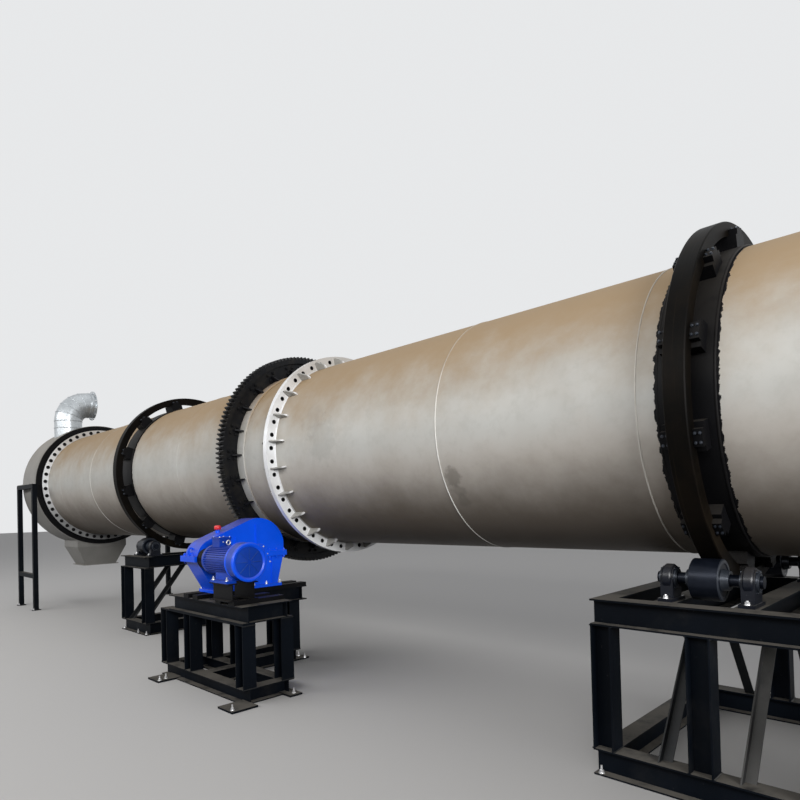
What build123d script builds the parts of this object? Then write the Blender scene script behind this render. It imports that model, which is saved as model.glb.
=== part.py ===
from build123d import *
import os
from math import acos, asin, cos, pi, radians, sin, sqrt

# Rotary drum dryer, in millimetres
# X runs along the drum, towards the feed end, and Z is up. The drive and its stand lie
# on the -Y side. The functions build everything about the drum's axis at Y zero. The
# last lines move the whole dryer along Y, so that the origin lies on the floor below
# the middle of its plan.

# Drum
axis_height = 2115
shell_radius = 900
shell_wall = 12
drum_half = 6990
shell_inner = shell_radius - shell_wall

# Bolted joint in the middle of the drum
flange_height = 100
flange_thick = 25
bolt_circle_height = 45
bolt_hole_radius = 13
bolt_count = 48
bolt_phase = 1.0
gusset_count = 24
gusset_phase = 4.75
gusset_thick = 12
gusset_length = 145
gusset_root = 78
gusset_tip = 34
weld_gap = 1

# Flanges at the two ends of the drum
end_flange_set = 150
end_flange_thick = 20
end_flange_height = 90

# Riding rings and their seats on the shell
ring_stand_off = 85
ring_thick = 83
ring_width = 110
ring_chamfer = 6
near_ring_x = 3665
far_ring_x = -3410
seat_wall = 12
seat_width = 280
pad_count = 12
pad_width = 150
pad_length = 200
seat_gap = 0.3
keeper_height = 34
keeper_width = 90

# Girth gear and its seat on the shell
gear_module = 15
gear_stand_off = 202.5
gear_x = -640
gear_width = 90
gear_rim_depth = 57.5
gear_web_thick = 30
gear_collar_wall = 14
gear_collar_left = 90
gear_collar_right = 125
bracket_count = 24
bracket_thick = 14
bracket_length = 95
bracket_root = 70
bracket_tip = 26
backlash = 1.6
pressure_angle = 20
dedendum_ratio = 1.25

# Pinion and its outboard bearing
pinion_teeth = 28
pinion_width = 110
pinion_flank_steps = 4
pinion_shaft_radius = 60
mesh_angle = 42
pinion_bearing_x = -810
pinion_bearing_width = 110
pinion_bearing_arch = 115
pinion_bearing_foot = 200
pinion_foot_thick = 30
pinion_shaft_end = -885

# Support rollers
roller_radius = 112
roller_width = 140
roller_angle = 33
roller_shaft_radius = 32
bearing_offset = 200
bearing_width = 78
bearing_length = 190
bearing_foot = 18
bearing_inset = 6
bearing_arch = 64
shaft_clearance = 0.05
shaft_past_bearing = 22

# Rolled sections of the stands
beam_width = 120
beam_flange = 10
beam_web = 7
post_size = 120
post_flange = 9
post_web = 7
brace_leg = 60
brace_wall = 8

# Roller stands
roller_centre_height = 125
stand_beam_height = 150
near_half_length = 580
near_post_step = 520
far_half_length = 390
far_post_step = 330
stand_half_width = 860
brace_foot_inset = 60
brace_head_y = 260

# Drive stand
drive_beam_height = 140
drive_base_height = 120
drive_cap_thick = 14
drive_left = -870
drive_cap_left = -1054
drive_right = 440
drive_front_step = 652
drive_mid_step = 222
drive_back_step = 478
drive_front_posts = (-994, -517, 380)
drive_mid_posts = (-810, -350, 380)
drive_back_posts = (-810, -490)
drive_base_tie = -350
foot_plate_reach = 170
foot_plate_width = 220
foot_plate_side = 110
left_plate_shift = 190
foot_plate_thick = 16

# Reducer
rail_height = 36
rail_width = 90
rail_inset = 5
reducer_centre_height = 321
reducer_left_reach = 653
reducer_right_reach = 283
reducer_face = -300
reducer_width = 270
reducer_out_radius = 290
reducer_out_rise = 60
reducer_in_radius = 175
reducer_in_step = 462
reducer_input_step = 562
reducer_lip = 26
reducer_lip_out = 22
reducer_foot = 28
reducer_foot_front_reach = 497
reducer_foot_back_reach = 238
reducer_taper_left = 190
reducer_taper_right = 85
reducer_rib_thick = 14
reducer_rib_stop = 60
upper_rib_steps = (-27, -252)
lower_rib_steps = (143, -132, -342)
shaft_seat = 24
dome_steps = 10

# Motor and its coupling
motor_face = -140
motor_length = 440
motor_radius = 130
fin_height = 13
fin_thick = 5
fin_count = 40
fin_end_gap = 30
cowl_radius = 158
cowl_length = 117
motor_bell = 28
motor_bell_radius = 104
motor_shaft_radius = 24
motor_foot_drop = 174
motor_foot_thick = 22
motor_foot_half = 140
motor_foot_web = 26
motor_foot_step = 100
motor_foot_inset = 165
motor_foot_length = 270
terminal_box_length = 120
terminal_box_half = 55
terminal_box_height = 62
terminal_box_inset = 60
pedestal_inset = 150
pedestal_length = 310
pedestal_width = 80
pedestal_flange = 9
coupling_radius = 92
coupling_length = 110

# Hoods at both ends
hood_stand_off = 180
hood_wall = 8
hood_overlap = 90
hood_length = 750
hood_hole_gap = 40
side_plate_thick = 12
side_plate_reach = 88
hopper_neck_half = 420
hopper_neck_drop = 35
hopper_outlet_half = 260
hopper_length = 340
hopper_inset = 16
outlet_lip = 40
outlet_lip_thick = 12

# Exhaust elbow on the discharge hood
duct_radius = 225
duct_wall = 5
duct_y = -430
duct_rise = 90
duct_bend = 330
duct_mouth = 90
duct_lip = 45
duct_lip_thick = 10
duct_foot_ratio = 0.75

# Feed hood's chute and gas inlet
gas_inlet_radius = 300
feed_half = 210
feed_height = 420
feed_low = 80
feed_lip = 50
feed_lip_thick = 12

# Legs under the hoods
leg_size = 70
leg_stand_off = 60
leg_ahead = 165
leg_behind = 35
leg_foot_over = 25
leg_foot_thick = 12
leg_bar_z = 530

# Derived places
drum_axis = Vector(0, 0, axis_height)
flange_radius = shell_radius + flange_height
bolt_circle = shell_radius + bolt_circle_height
end_flange_radius = shell_radius + end_flange_height
end_flange_x = drum_half - end_flange_set
ring_inner = shell_radius + ring_stand_off
ring_radius = ring_inner + ring_thick
gear_teeth = round(2 * (shell_radius + gear_stand_off) / gear_module)
gear_rim_inner = gear_module * gear_teeth / 2 - gear_rim_depth
pinion_ratio_span = gear_module * (gear_teeth + pinion_teeth) / 2
pinion_y = -pinion_ratio_span * sin(radians(mesh_angle))
pinion_z = axis_height - pinion_ratio_span * cos(radians(mesh_angle))
mesh_direction = radians(270 - mesh_angle)
roller_reach = ring_radius + seat_gap + roller_radius
roller_y = roller_reach * sin(radians(roller_angle))
roller_z = axis_height - roller_reach * cos(radians(roller_angle))
stand_top = roller_z - roller_centre_height
drive_line = round(pinion_y)
drive_front = drive_line - drive_front_step
drive_mid = drive_line - drive_mid_step
drive_back = drive_line + drive_back_step
reducer_back_face = reducer_face - reducer_width
reducer_left = drive_line - reducer_left_reach
reducer_right = drive_line + reducer_right_reach
reducer_in_y = drive_line - reducer_in_step
reducer_input_y = drive_line - reducer_input_step
drive_deck = pinion_z - reducer_centre_height
drive_top = drive_deck - rail_height
motor_tail = motor_face + motor_length
motor_foot_z = pinion_z - motor_foot_drop
hood_radius = shell_radius + hood_stand_off
hood_hole_radius = shell_radius + hood_hole_gap
hood_front_x = drum_half - hood_overlap
hood_back_x = hood_front_x + hood_length
hood_mid_x = hood_front_x + hood_length / 2
side_plate_out = hood_radius + side_plate_reach
hopper_neck_z = axis_height - hood_radius - hopper_neck_drop
hopper_outlet_z = hopper_neck_z - hopper_length
leg_y = hood_radius + leg_stand_off
leg_first_x = hood_front_x - leg_ahead
leg_second_x = hood_back_x - leg_behind
duct_top_z = axis_height + hood_radius + duct_rise
plan_front = drive_front - foot_plate_reach
plan_back = leg_y + leg_size / 2 + leg_foot_over
plan_middle = (plan_front + plan_back) / 2


# Shared shapes
def box(x0, x1, y0, y1, z0, z1):
    """A block between two corners."""
    block = Box(x1 - x0, y1 - y0, z1 - z0)
    return Pos((x0 + x1) / 2, (y0 + y1) / 2, (z0 + z1) / 2) * block


def rod(x0, x1, radius, y=0, z=axis_height):
    """A round bar along X, about the drum's axis unless told otherwise."""
    return Pos((x0 + x1) / 2, y, z) * Rot(0, 90, 0) * Cylinder(radius, x1 - x0)


def tube(x0, x1, outer, inner):
    """A tube along X about the drum's axis."""
    return rod(x0, x1, outer) - rod(x0 - 1, x1 + 1, inner)


def prism_x(points, x0, x1):
    """A flat outline in Y and Z, pulled along X."""
    face = make_face(Polyline([(0, y, z) for y, z in points], close=True))
    return Pos(x0, 0, 0) * extrude(face, amount=x1 - x0, dir=(1, 0, 0))


def prism_y(points, y0, y1):
    """A flat outline in X and Z, pulled along Y."""
    face = make_face(Polyline([(x, 0, z) for x, z in points], close=True))
    return Pos(0, y0, 0) * extrude(face, amount=y1 - y0, dir=(0, 1, 0))


def at_side(shape, side):
    """A shape built for the feed end, mirrored when it belongs to the other end."""
    return shape if side > 0 else mirror(shape, about=Plane.YZ)


def around_axis(shape, angle):
    """The shape turned about the drum's axis."""
    return shape.rotate(Axis(drum_axis, (1, 0, 0)), angle)


def ring_of(shape, count, phase):
    """Copies of a shape in even steps about the drum's axis."""
    step = 360 / count
    return [around_axis(shape, phase + step * i) for i in range(count)]


def rib(length, root, tip, thick, base):
    """A gusset that stands on the shell and tapers away from its plate."""
    low = axis_height + base
    profile = [(0, low), (length, low), (length, low + tip / 2), (length - tip / 2, low + tip),
               (tip, low + root), (0, low + root)]
    return prism_y(profile, -thick / 2, thick / 2)


# Rolled sections
def section_points(height, width, flange, web):
    """The outline of a rolled I or H section about its centre."""
    a, b, c, d = width / 2, web / 2, height / 2, height / 2 - flange
    return [(-a, -c), (a, -c), (a, -d), (b, -d), (b, d), (a, d),
            (a, c), (-a, c), (-a, d), (-b, d), (-b, -d), (-a, -d)]


def beam_x(x0, x1, y, top, height):
    """An I beam along X with its top flange at the given height."""
    outline = section_points(height, beam_width, beam_flange, beam_web)
    mid = top - height / 2
    return prism_x([(y + p, mid + q) for p, q in outline], x0, x1)


def beam_y(x, y0, y1, top, height, width=beam_width):
    """An I beam along Y with its top flange at the given height."""
    outline = section_points(height, width, beam_flange, beam_web)
    mid = top - height / 2
    return prism_y([(x + p, mid + q) for p, q in outline], y0, y1)


def post(x, y, z0, z1):
    """An H post with its flanges square to X."""
    outline = section_points(post_size, post_size, post_flange, post_web)
    face = make_face(Polyline([(x + q, y + p, z0) for p, q in outline], close=True))
    return extrude(face, amount=z1 - z0, dir=(0, 0, 1))


def leaning_plate(x0, x1, start, end, width):
    """A plate in a plane square to X that leans from one (y, z) to another, with level ends."""
    half = width / 2
    (y0, z0), (y1, z1) = start, end
    return prism_x([(y0 - half, z0), (y0 + half, z0), (y1 + half, z1), (y1 - half, z1)], x0, x1)


def leaning_angle(x, start, end):
    """An angle iron that leans from one (y, z) to another, cut level at both ends."""
    side = 1 if end[0] > start[0] else -1
    edge = side * (brace_leg - brace_wall) / 2
    shifted = [(y + edge, z) for y, z in (start, end)]
    return (leaning_plate(x, x + brace_wall, start, end, brace_leg)
            + leaning_plate(x, x + brace_leg, *shifted, brace_wall))


# Drum
def make_shell(side):
    """One half of the drum, from the joint to its open end."""
    return at_side(tube(0, drum_half, shell_radius, shell_inner), side)


def make_joint_flange(side):
    """Half of the bolted joint: a drilled ring with gussets behind it."""
    ring = tube(0, flange_thick, flange_radius, shell_radius)
    hole = rod(-1, flange_thick + 1, bolt_hole_radius, -bolt_circle)
    ring = ring - ring_of(hole, bolt_count, -bolt_phase)
    gusset = rib(gusset_length, gusset_root, gusset_tip, gusset_thick, shell_radius + weld_gap)
    gusset = Pos(flange_thick, 0, 0) * gusset
    return at_side(ring + ring_of(gusset, gusset_count, 90 - gusset_phase), side)


def make_end_flange(side):
    """The ring near the end of the drum that faces its hood."""
    x0 = end_flange_x - end_flange_thick
    return at_side(tube(x0, end_flange_x, end_flange_radius, shell_radius), side)


# Riding rings
def make_riding_ring(x):
    """A forged riding ring with chamfered edges."""
    half = ring_width / 2
    ring = tube(x - half, x + half, ring_radius, ring_inner)
    rims = ring.edges().filter_by(GeomType.CIRCLE).group_by(lambda e: round(e.radius))[-1]
    return chamfer(rims, ring_chamfer)


def make_ring_seat(x):
    """A collar on the shell with the pads that carry a riding ring and the keepers beside it."""
    half = seat_width / 2
    outer = shell_radius + seat_wall
    pad_top = ring_inner - seat_gap
    collar = tube(x - half, x + half, outer, shell_radius)
    pad = tube(x - pad_length / 2, x + pad_length / 2, pad_top, outer - seat_wall / 2)
    window = box(x - pad_length, x + pad_length, -pad_width / 2, pad_width / 2,
                 axis_height, axis_height + ring_radius)
    pad = pad & window
    near, far = ring_width / 2 + seat_gap, pad_length / 2
    for x0, x1 in ((x - far, x - near), (x + near, x + far)):
        pad += box(x0, x1, -keeper_width / 2, keeper_width / 2,
                   axis_height + pad_top - keeper_height, axis_height + pad_top + keeper_height)
    return collar + ring_of(pad, pad_count, 180 / pad_count)


# Gearing
def angle_of_tangent(t):
    """The angle whose tangent is t."""
    return acos(1 / sqrt(1 + t * t))


def involute(base, radius):
    """How far round an involute has turned when it reaches a radius."""
    t = sqrt(max((radius / base) ** 2 - 1, 0))
    return t - angle_of_tangent(t)


def tooth_flank(teeth, steps):
    """One flank as (angle from the tooth's middle, radius), root first."""
    pitch = gear_module * teeth / 2
    base = pitch * cos(radians(pressure_angle))
    tip, root = pitch + gear_module, pitch - dedendum_ratio * gear_module
    half_tooth = pi / teeth / 2 - backlash / 4 / pitch
    start = max(base, root)
    radii = [start + (tip - start) * i / steps for i in range(steps + 1)]
    at_pitch = involute(base, pitch)
    flank = [(half_tooth + at_pitch - involute(base, r), r) for r in radii]
    return [(flank[0][0], root)] + flank if root < start else flank


def spur_wheel(teeth, steps, x0, x1, y, z, phase):
    """A toothed wheel along X. The middle of one tooth points at the phase angle."""
    flank = tooth_flank(teeth, steps)
    points = []
    for i in range(teeth):
        middle = phase + 2 * pi * i / teeth
        turned = [(middle - a, r) for a, r in flank] + [(middle + a, r) for a, r in reversed(flank)]
        points += [(y + r * cos(a), z + r * sin(a)) for a, r in turned]
    return prism_x(points, x0, x1)


def make_girth_gear():
    """The toothed rim with its flat web."""
    half = gear_width / 2
    rim = spur_wheel(gear_teeth, 1, gear_x - half, gear_x + half, 0, axis_height, mesh_direction)
    rim = rim - rod(gear_x - half - 1, gear_x + half + 1, gear_rim_inner)
    web_half = gear_web_thick / 2
    web_inner = shell_radius + gear_collar_wall
    return rim + tube(gear_x - web_half, gear_x + web_half, gear_rim_inner + weld_gap, web_inner)


def make_gear_seat():
    """The collar on the shell and the brackets that hold the gear's web."""
    outer = shell_radius + gear_collar_wall
    collar = tube(gear_x - gear_collar_left, gear_x + gear_collar_right, outer, shell_radius)
    bracket = rib(bracket_length, bracket_root, bracket_tip, bracket_thick, outer - 2 * weld_gap)
    bracket = Pos(gear_x + gear_web_thick / 2, 0, 0) * bracket
    return collar + ring_of(bracket, bracket_count, 0)


def make_pinion():
    """The pinion on the shaft that joins the reducer and the outboard bearing."""
    half = pinion_width / 2
    gap_phase = mesh_direction + pi + pi / pinion_teeth
    wheel = spur_wheel(pinion_teeth, pinion_flank_steps, gear_x - half, gear_x + half,
                       pinion_y, pinion_z, gap_phase)
    shaft_tip = reducer_back_face + shaft_seat - seat_gap
    return wheel + rod(pinion_shaft_end, shaft_tip, pinion_shaft_radius, pinion_y, pinion_z)


# Rollers and their bearings
def make_roller(ring_x, side):
    """A support roller on its shaft."""
    half = roller_width / 2
    y = side * roller_y
    reach = bearing_offset + bearing_width / 2 + shaft_past_bearing
    wheel = rod(ring_x - half, ring_x + half, roller_radius, y, roller_z)
    return wheel + rod(ring_x - reach, ring_x + reach, roller_shaft_radius, y, roller_z)


def pillow_block(x, y, z, floor_z, width, foot_half, foot_thick, arch, bore):
    """A bearing housing: foot, arch and bore."""
    half = width / 2
    inner = half - bearing_inset
    foot = box(x - half, x + half, y - foot_half, y + foot_half, floor_z, floor_z + foot_thick)
    block = box(x - inner, x + inner, y - arch, y + arch, floor_z, z)
    dome = rod(x - inner, x + inner, arch, y, z)
    return foot + block + dome - rod(x - width, x + width, bore + shaft_clearance, y, z)


def make_roller_bearings(ring_x):
    """The four pillow blocks of one stand."""
    places = [(ring_x + end * bearing_offset, side * roller_y) for side in (-1, 1) for end in (-1, 1)]
    return Compound(children=[pillow_block(x, y, roller_z, stand_top, bearing_width,
                                           bearing_length / 2, bearing_foot, bearing_arch,
                                           roller_shaft_radius) for x, y in places])


# Roller stands
def stand_frame(ring_x, half_length, top, cross_places):
    """Two long beams joined by cross beams at the given places."""
    y = stand_half_width - beam_width / 2
    x0, x1 = ring_x - half_length, ring_x + half_length
    frame = (beam_x(x0, x1, -y, top, stand_beam_height)
             + beam_x(x0, x1, y, top, stand_beam_height))
    for x in cross_places:
        frame += beam_y(ring_x + x, -y, y, top, stand_beam_height)
    return frame


def make_stand_top(ring_x, half_length):
    """The frame that carries the roller bearings."""
    end = half_length - beam_width / 2
    places = [p for p in (-end, end) if abs(p) > bearing_offset + 2 * beam_width]
    return stand_frame(ring_x, half_length, stand_top, [-bearing_offset, bearing_offset] + places)


def make_stand_base(ring_x, half_length):
    """The frame on the floor."""
    end = half_length - beam_width / 2
    return stand_frame(ring_x, half_length, stand_beam_height, (-end, end))


def make_stand_posts(ring_x, places):
    """Posts between the base and the top frame, in pairs at the given places."""
    y = stand_half_width - post_size / 2
    top = stand_top - stand_beam_height
    return Compound(children=[post(ring_x + x, s * y, stand_beam_height, top)
                              for x in places for s in (-1, 1)])


def make_stand_braces(ring_x):
    """Leaning angle irons from the base up to the beams under the bearings."""
    foot = stand_half_width - brace_foot_inset
    low, high = stand_beam_height, stand_top - stand_beam_height
    return Compound(children=[leaning_angle(ring_x + x - brace_leg / 2, (s * foot, low),
                                            (s * brace_head_y, high))
                              for x in (-bearing_offset, bearing_offset) for s in (-1, 1)])


# Drive stand
def drive_rows():
    """The middles of the front, middle and back rows of beams."""
    return drive_front + beam_width / 2, drive_mid, drive_back


def make_drive_top():
    """The top frame: three long beams, cross beams and the cap plate on the front posts."""
    front, mid, back = drive_rows()
    half = beam_width / 2
    height = drive_beam_height
    frame = beam_x(drive_left, drive_right, front, drive_top, height)
    frame += beam_x(drive_left, drive_right, mid, drive_top, height)
    frame += beam_x(drive_left, reducer_face, back, drive_top, height)
    frame += beam_y(drive_left + half, front, back, drive_top, height)
    frame += beam_y(drive_right - half, front, mid, drive_top, height)
    for x in rail_middles():
        frame += beam_y(x, front, back, drive_top, height, rail_width)
    cap_top = drive_top - height
    return frame + box(drive_cap_left, drive_right, front - half, front + half,
                       cap_top - drive_cap_thick, cap_top)


def make_drive_base():
    """The frame on the floor, with the plates that its anchor bolts go through."""
    front, mid, back = drive_rows()
    half = beam_width / 2
    height = drive_base_height
    left, right = drive_cap_left, drive_right
    frame = beam_x(left, right, front, height, height) + beam_x(left, right, mid, height, height)
    for x in (left + half, drive_base_tie, right - half):
        frame += beam_y(x, front, mid, height, height)
    for x in drive_back_posts:
        frame += beam_y(x, mid, back, height, height)
    frame += beam_x(drive_back_posts[0] - half, drive_back_posts[-1] + half, back, height, height)
    t, w = foot_plate_thick, foot_plate_width / 2
    for x in (left + left_plate_shift, right):
        frame += box(x - w, x + w, plan_front, drive_front + half, 0, t)
    for x in (left, right):
        frame += box(x - foot_plate_side, x + foot_plate_side, mid - half, mid + half, 0, t)
    for x in drive_back_posts:
        frame += box(x - half, x + half, back, back + half + foot_plate_side, 0, t)
    return frame


def make_drive_posts():
    """The posts of the drive stand, in three rows."""
    front, mid, back = drive_rows()
    low, high = drive_base_height, drive_top - drive_beam_height
    posts = [post(x, front, low, high - drive_cap_thick) for x in drive_front_posts]
    posts += [post(x, mid, low, high) for x in drive_mid_posts]
    posts += [post(x, back, low, high) for x in drive_back_posts]
    return Compound(children=posts)


def rail_middles():
    """The middles along X of the two rails under the reducer."""
    edge = rail_inset + rail_width / 2
    return reducer_back_face + edge, reducer_face - edge


def make_drive_packers():
    """Rails under the reducer, and rails with two short beams under the motor."""
    front, mid, back = drive_rows()
    half = beam_width / 2
    packers = [box(x - rail_width / 2, x + rail_width / 2, front - half, back + half,
                   drive_top, drive_deck) for x in rail_middles()]
    x0 = motor_face + pedestal_inset
    x1 = x0 + pedestal_length
    pedestals = []
    for x in (x0, x1 - rail_width):
        pedestals.append(box(x, x + rail_width, front - half, mid + half, drive_top, drive_deck))
    outline = section_points(motor_foot_z - drive_deck, pedestal_width, pedestal_flange, beam_web)
    middle = (motor_foot_z + drive_deck) / 2
    for s in (-1, 1):
        y = reducer_input_y + s * motor_foot_step
        pedestals.append(prism_x([(y + p, middle + q) for p, q in outline], x0, x1))
    return Compound(children=packers + [pedestals[0] + pedestals[1:]])


# Reducer
def reducer_lower_side():
    """The side outline of the reducer's case below its joint."""
    return [(reducer_left + reducer_taper_left, drive_deck),
            (reducer_right - reducer_taper_right, drive_deck),
            (reducer_right, pinion_z), (reducer_left, pinion_z)]


def arc_points(y, z, radius, start, stop):
    """Points along an arc, with its angles in radians from +Y."""
    steps = [start + (stop - start) * i / dome_steps for i in range(dome_steps + 1)]
    return [(y + radius * cos(a), z + radius * sin(a)) for a in steps]


def reducer_upper_side():
    """The side outline above the joint: a big dome, a slope and a small dome."""
    span = pinion_y - reducer_in_y
    reach = sqrt(span ** 2 + reducer_out_rise ** 2)
    lean = asin(reducer_out_rise / reach)
    slope = pi + lean - acos((reducer_out_radius - reducer_in_radius) / reach)
    start = acos((reducer_right - pinion_y) / reducer_out_radius)
    stop = pi - asin(reducer_lip / reducer_in_radius)
    big = arc_points(pinion_y, pinion_z + reducer_out_rise, reducer_out_radius, start, slope)
    small = arc_points(reducer_in_y, pinion_z, reducer_in_radius, slope, stop)
    return ([(reducer_right, pinion_z)] + big + small
            + [(reducer_left, pinion_z + reducer_lip), (reducer_left, pinion_z)])


def reducer_flange(z0, z1):
    """The flange that closes the case at its joint."""
    return box(reducer_back_face, reducer_face, reducer_left - reducer_lip_out,
               reducer_right + reducer_lip_out, z0, z1)


def with_shaft_seats(case):
    """The case with blind seats for its two shafts."""
    out = rod(reducer_back_face - 1, reducer_back_face + shaft_seat,
              pinion_shaft_radius + shaft_clearance, pinion_y, pinion_z)
    into = rod(reducer_face - shaft_seat, reducer_face + 1,
               motor_shaft_radius + shaft_clearance, reducer_input_y, pinion_z)
    return case - out - into


def reducer_half(outline, rib_steps, z0, z1):
    """A half of the case, as wide as the flange lets it be, with ribs on both faces."""
    half = prism_x(outline, reducer_back_face + reducer_lip_out, reducer_face - reducer_lip_out)
    for step in rib_steps:
        y = drive_line + step
        half += box(reducer_back_face + reducer_lip_out / 2, reducer_face - reducer_lip_out / 2,
                    y - reducer_rib_thick / 2, y + reducer_rib_thick / 2, z0, z1)
    return half


def make_reducer_lower():
    """The lower half of the reducer's case, with its foot."""
    foot = box(reducer_back_face, reducer_face, drive_line - reducer_foot_front_reach,
               drive_line + reducer_foot_back_reach, drive_deck, drive_deck + reducer_foot)
    flange = reducer_flange(pinion_z - reducer_lip, pinion_z)
    half = reducer_half(reducer_lower_side(), lower_rib_steps, drive_deck, pinion_z)
    return with_shaft_seats(half + foot + flange)


def make_reducer_upper():
    """The domed upper half of the reducer's case."""
    flange = reducer_flange(pinion_z, pinion_z + reducer_lip)
    top = pinion_z + reducer_out_rise + reducer_out_radius - reducer_rib_stop
    half = reducer_half(reducer_upper_side(), upper_rib_steps[:1], pinion_z, top)
    low_top = pinion_z + reducer_in_radius
    half += reducer_half(reducer_upper_side(), upper_rib_steps[1:], pinion_z, low_top)
    return with_shaft_seats(half + flange)


def make_pinion_bearing():
    """The outboard bearing of the pinion's shaft, on the drive stand."""
    return pillow_block(pinion_bearing_x, pinion_y, pinion_z, drive_top, pinion_bearing_width,
                        pinion_bearing_foot, pinion_foot_thick, pinion_bearing_arch,
                        pinion_shaft_radius)


# Motor
def motor_fins():
    """The cooling fins along the motor's body."""
    y, z = reducer_input_y, pinion_z
    root = motor_radius - 2 * fin_height
    fin = box(motor_face + fin_end_gap, motor_tail, y - fin_thick / 2, y + fin_thick / 2,
              z + root, z + motor_radius)
    axis = Axis((0, y, z), (1, 0, 0))
    return [fin.rotate(axis, 360 / fin_count * i) for i in range(fin_count)]


def motor_feet():
    """The feet: two plates with webs up to the body."""
    y, z = reducer_input_y, pinion_z
    x0 = motor_face + motor_foot_inset
    x1 = x0 + motor_foot_length
    top = motor_foot_z + motor_foot_thick
    feet = []
    for s in (-1, 1):
        inner, outer = y + s * motor_foot_step / 2, y + s * motor_foot_half
        feet.append(box(x0, x1, min(inner, outer), max(inner, outer), motor_foot_z, top))
        middle = y + s * (motor_foot_step - motor_foot_web)
        feet.append(box(x0, x1, middle - motor_foot_web / 2, middle + motor_foot_web / 2,
                        motor_foot_z, z - motor_radius / 2))
    return feet


def make_motor():
    """The motor: finned body, end bell, fan cowl, feet and terminal box."""
    y, z = reducer_input_y, pinion_z
    core = motor_radius - fin_height
    body = rod(motor_face, motor_tail, core, y, z) + motor_fins() + motor_feet()
    body += rod(motor_face, motor_face + fin_end_gap, motor_radius, y, z)
    body += rod(motor_tail, motor_tail + cowl_length, cowl_radius, y, z)
    body += rod(motor_face - motor_bell, motor_face, motor_bell_radius, y, z)
    x0 = motor_face + terminal_box_inset
    body += box(x0, x0 + terminal_box_length, y - terminal_box_half, y + terminal_box_half,
                z + core / 2, z + motor_radius + terminal_box_height)
    socket = rod(motor_face - motor_bell - 1, motor_face - motor_bell + shaft_seat,
                 motor_shaft_radius + shaft_clearance, y, z)
    return body - socket


def make_coupling():
    """The flexible coupling between the motor and the reducer, with its two shaft ends."""
    bell_face = motor_face - motor_bell
    middle = (reducer_face + bell_face) / 2
    half = coupling_length / 2
    hub = rod(middle - half, middle + half, coupling_radius, reducer_input_y, pinion_z)
    shaft = rod(reducer_face - shaft_seat + seat_gap, bell_face + shaft_seat - seat_gap,
                motor_shaft_radius, reducer_input_y, pinion_z)
    return hub + shaft


# Hoods
def hood_wall_ring():
    """The curved wall of a hood, with the side plates that hang it on its legs."""
    wall = tube(hood_front_x, hood_back_x, hood_radius, hood_radius - hood_wall)
    root = hood_radius - hood_wall / 2
    for y0, y1 in ((root, side_plate_out), (-side_plate_out, -root)):
        wall += box(hood_front_x, hood_back_x, y0, y1, axis_height, axis_height + side_plate_thick)
    return wall


def hood_plates(inlet_radius):
    """The ring that the drum's end turns in, and the end plate."""
    fit = hood_radius - hood_wall
    front = tube(hood_front_x, hood_front_x + hood_wall, fit, hood_hole_radius)
    back = rod(hood_back_x - hood_wall, hood_back_x, fit)
    if inlet_radius:
        back = back - rod(hood_back_x - hood_wall - 1, hood_back_x + 1, inlet_radius)
    return [front, back]


def square_funnel(half_x, half_y, top_z, half_low, low_z):
    """A solid funnel from a rectangle down to a smaller square, below a hood's middle."""
    faces = []
    for a, b, z in ((half_low, half_low, low_z), (half_x, half_y, top_z)):
        corners = [(hood_mid_x - a, -b, z), (hood_mid_x + a, -b, z),
                   (hood_mid_x + a, b, z), (hood_mid_x - a, b, z)]
        faces.append(make_face(Polyline(corners, close=True)))
    return loft(faces)


def square_duct(half_x, half_y, z0, z1):
    """A solid block below or above a hood's middle."""
    return box(hood_mid_x - half_x, hood_mid_x + half_x, -half_y, half_y, z0, z1)


def make_discharge_hood():
    """The hood's wall with its hopper down to the outlet."""
    half_x = hood_length / 2 - hopper_inset
    w, out, t = hopper_neck_half, hopper_outlet_half, hood_wall
    core = rod(hood_front_x - 1, hood_back_x + 1, hood_radius - hood_wall / 2)
    neck = square_duct(half_x, w, hopper_neck_z, axis_height)
    funnel = square_funnel(half_x, w, hopper_neck_z, out, hopper_outlet_z)
    lip = square_duct(out + outlet_lip, out + outlet_lip, hopper_outlet_z,
                      hopper_outlet_z + outlet_lip_thick)
    hopper = neck + funnel - core + lip
    hollow = (square_duct(half_x - t, w - t, hopper_neck_z, axis_height)
              + square_funnel(half_x - t, w - t, hopper_neck_z, out - t, hopper_outlet_z)
              + square_duct(out - t, out - t, hopper_outlet_z - 1, hopper_outlet_z + 1))
    flue = Cylinder(duct_radius - duct_wall, hood_radius)
    flue = Pos(hood_mid_x, duct_y, axis_height + hood_radius) * flue
    return at_side(hood_wall_ring() + hopper - hollow - flue, -1)


def elbow_bar(radius, foot_z, mouth_y):
    """The elbow's riser, quarter bend and mouth as one solid bar."""
    hub_y = duct_y + duct_bend
    x = -hood_mid_x
    riser = Pos(x, duct_y, (foot_z + duct_top_z) / 2) * Cylinder(radius, duct_top_z - foot_z)
    section = Pos(x, duct_y, duct_top_z) * Circle(radius)
    bend = revolve(section, axis=Axis((x, hub_y, duct_top_z), (-1, 0, 0)), revolution_arc=90)
    length = mouth_y - hub_y
    mouth = Pos(x, hub_y + length / 2, duct_top_z + duct_bend) * Rot(90, 0, 0) * Cylinder(radius, length)
    return riser + bend + mouth


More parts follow.
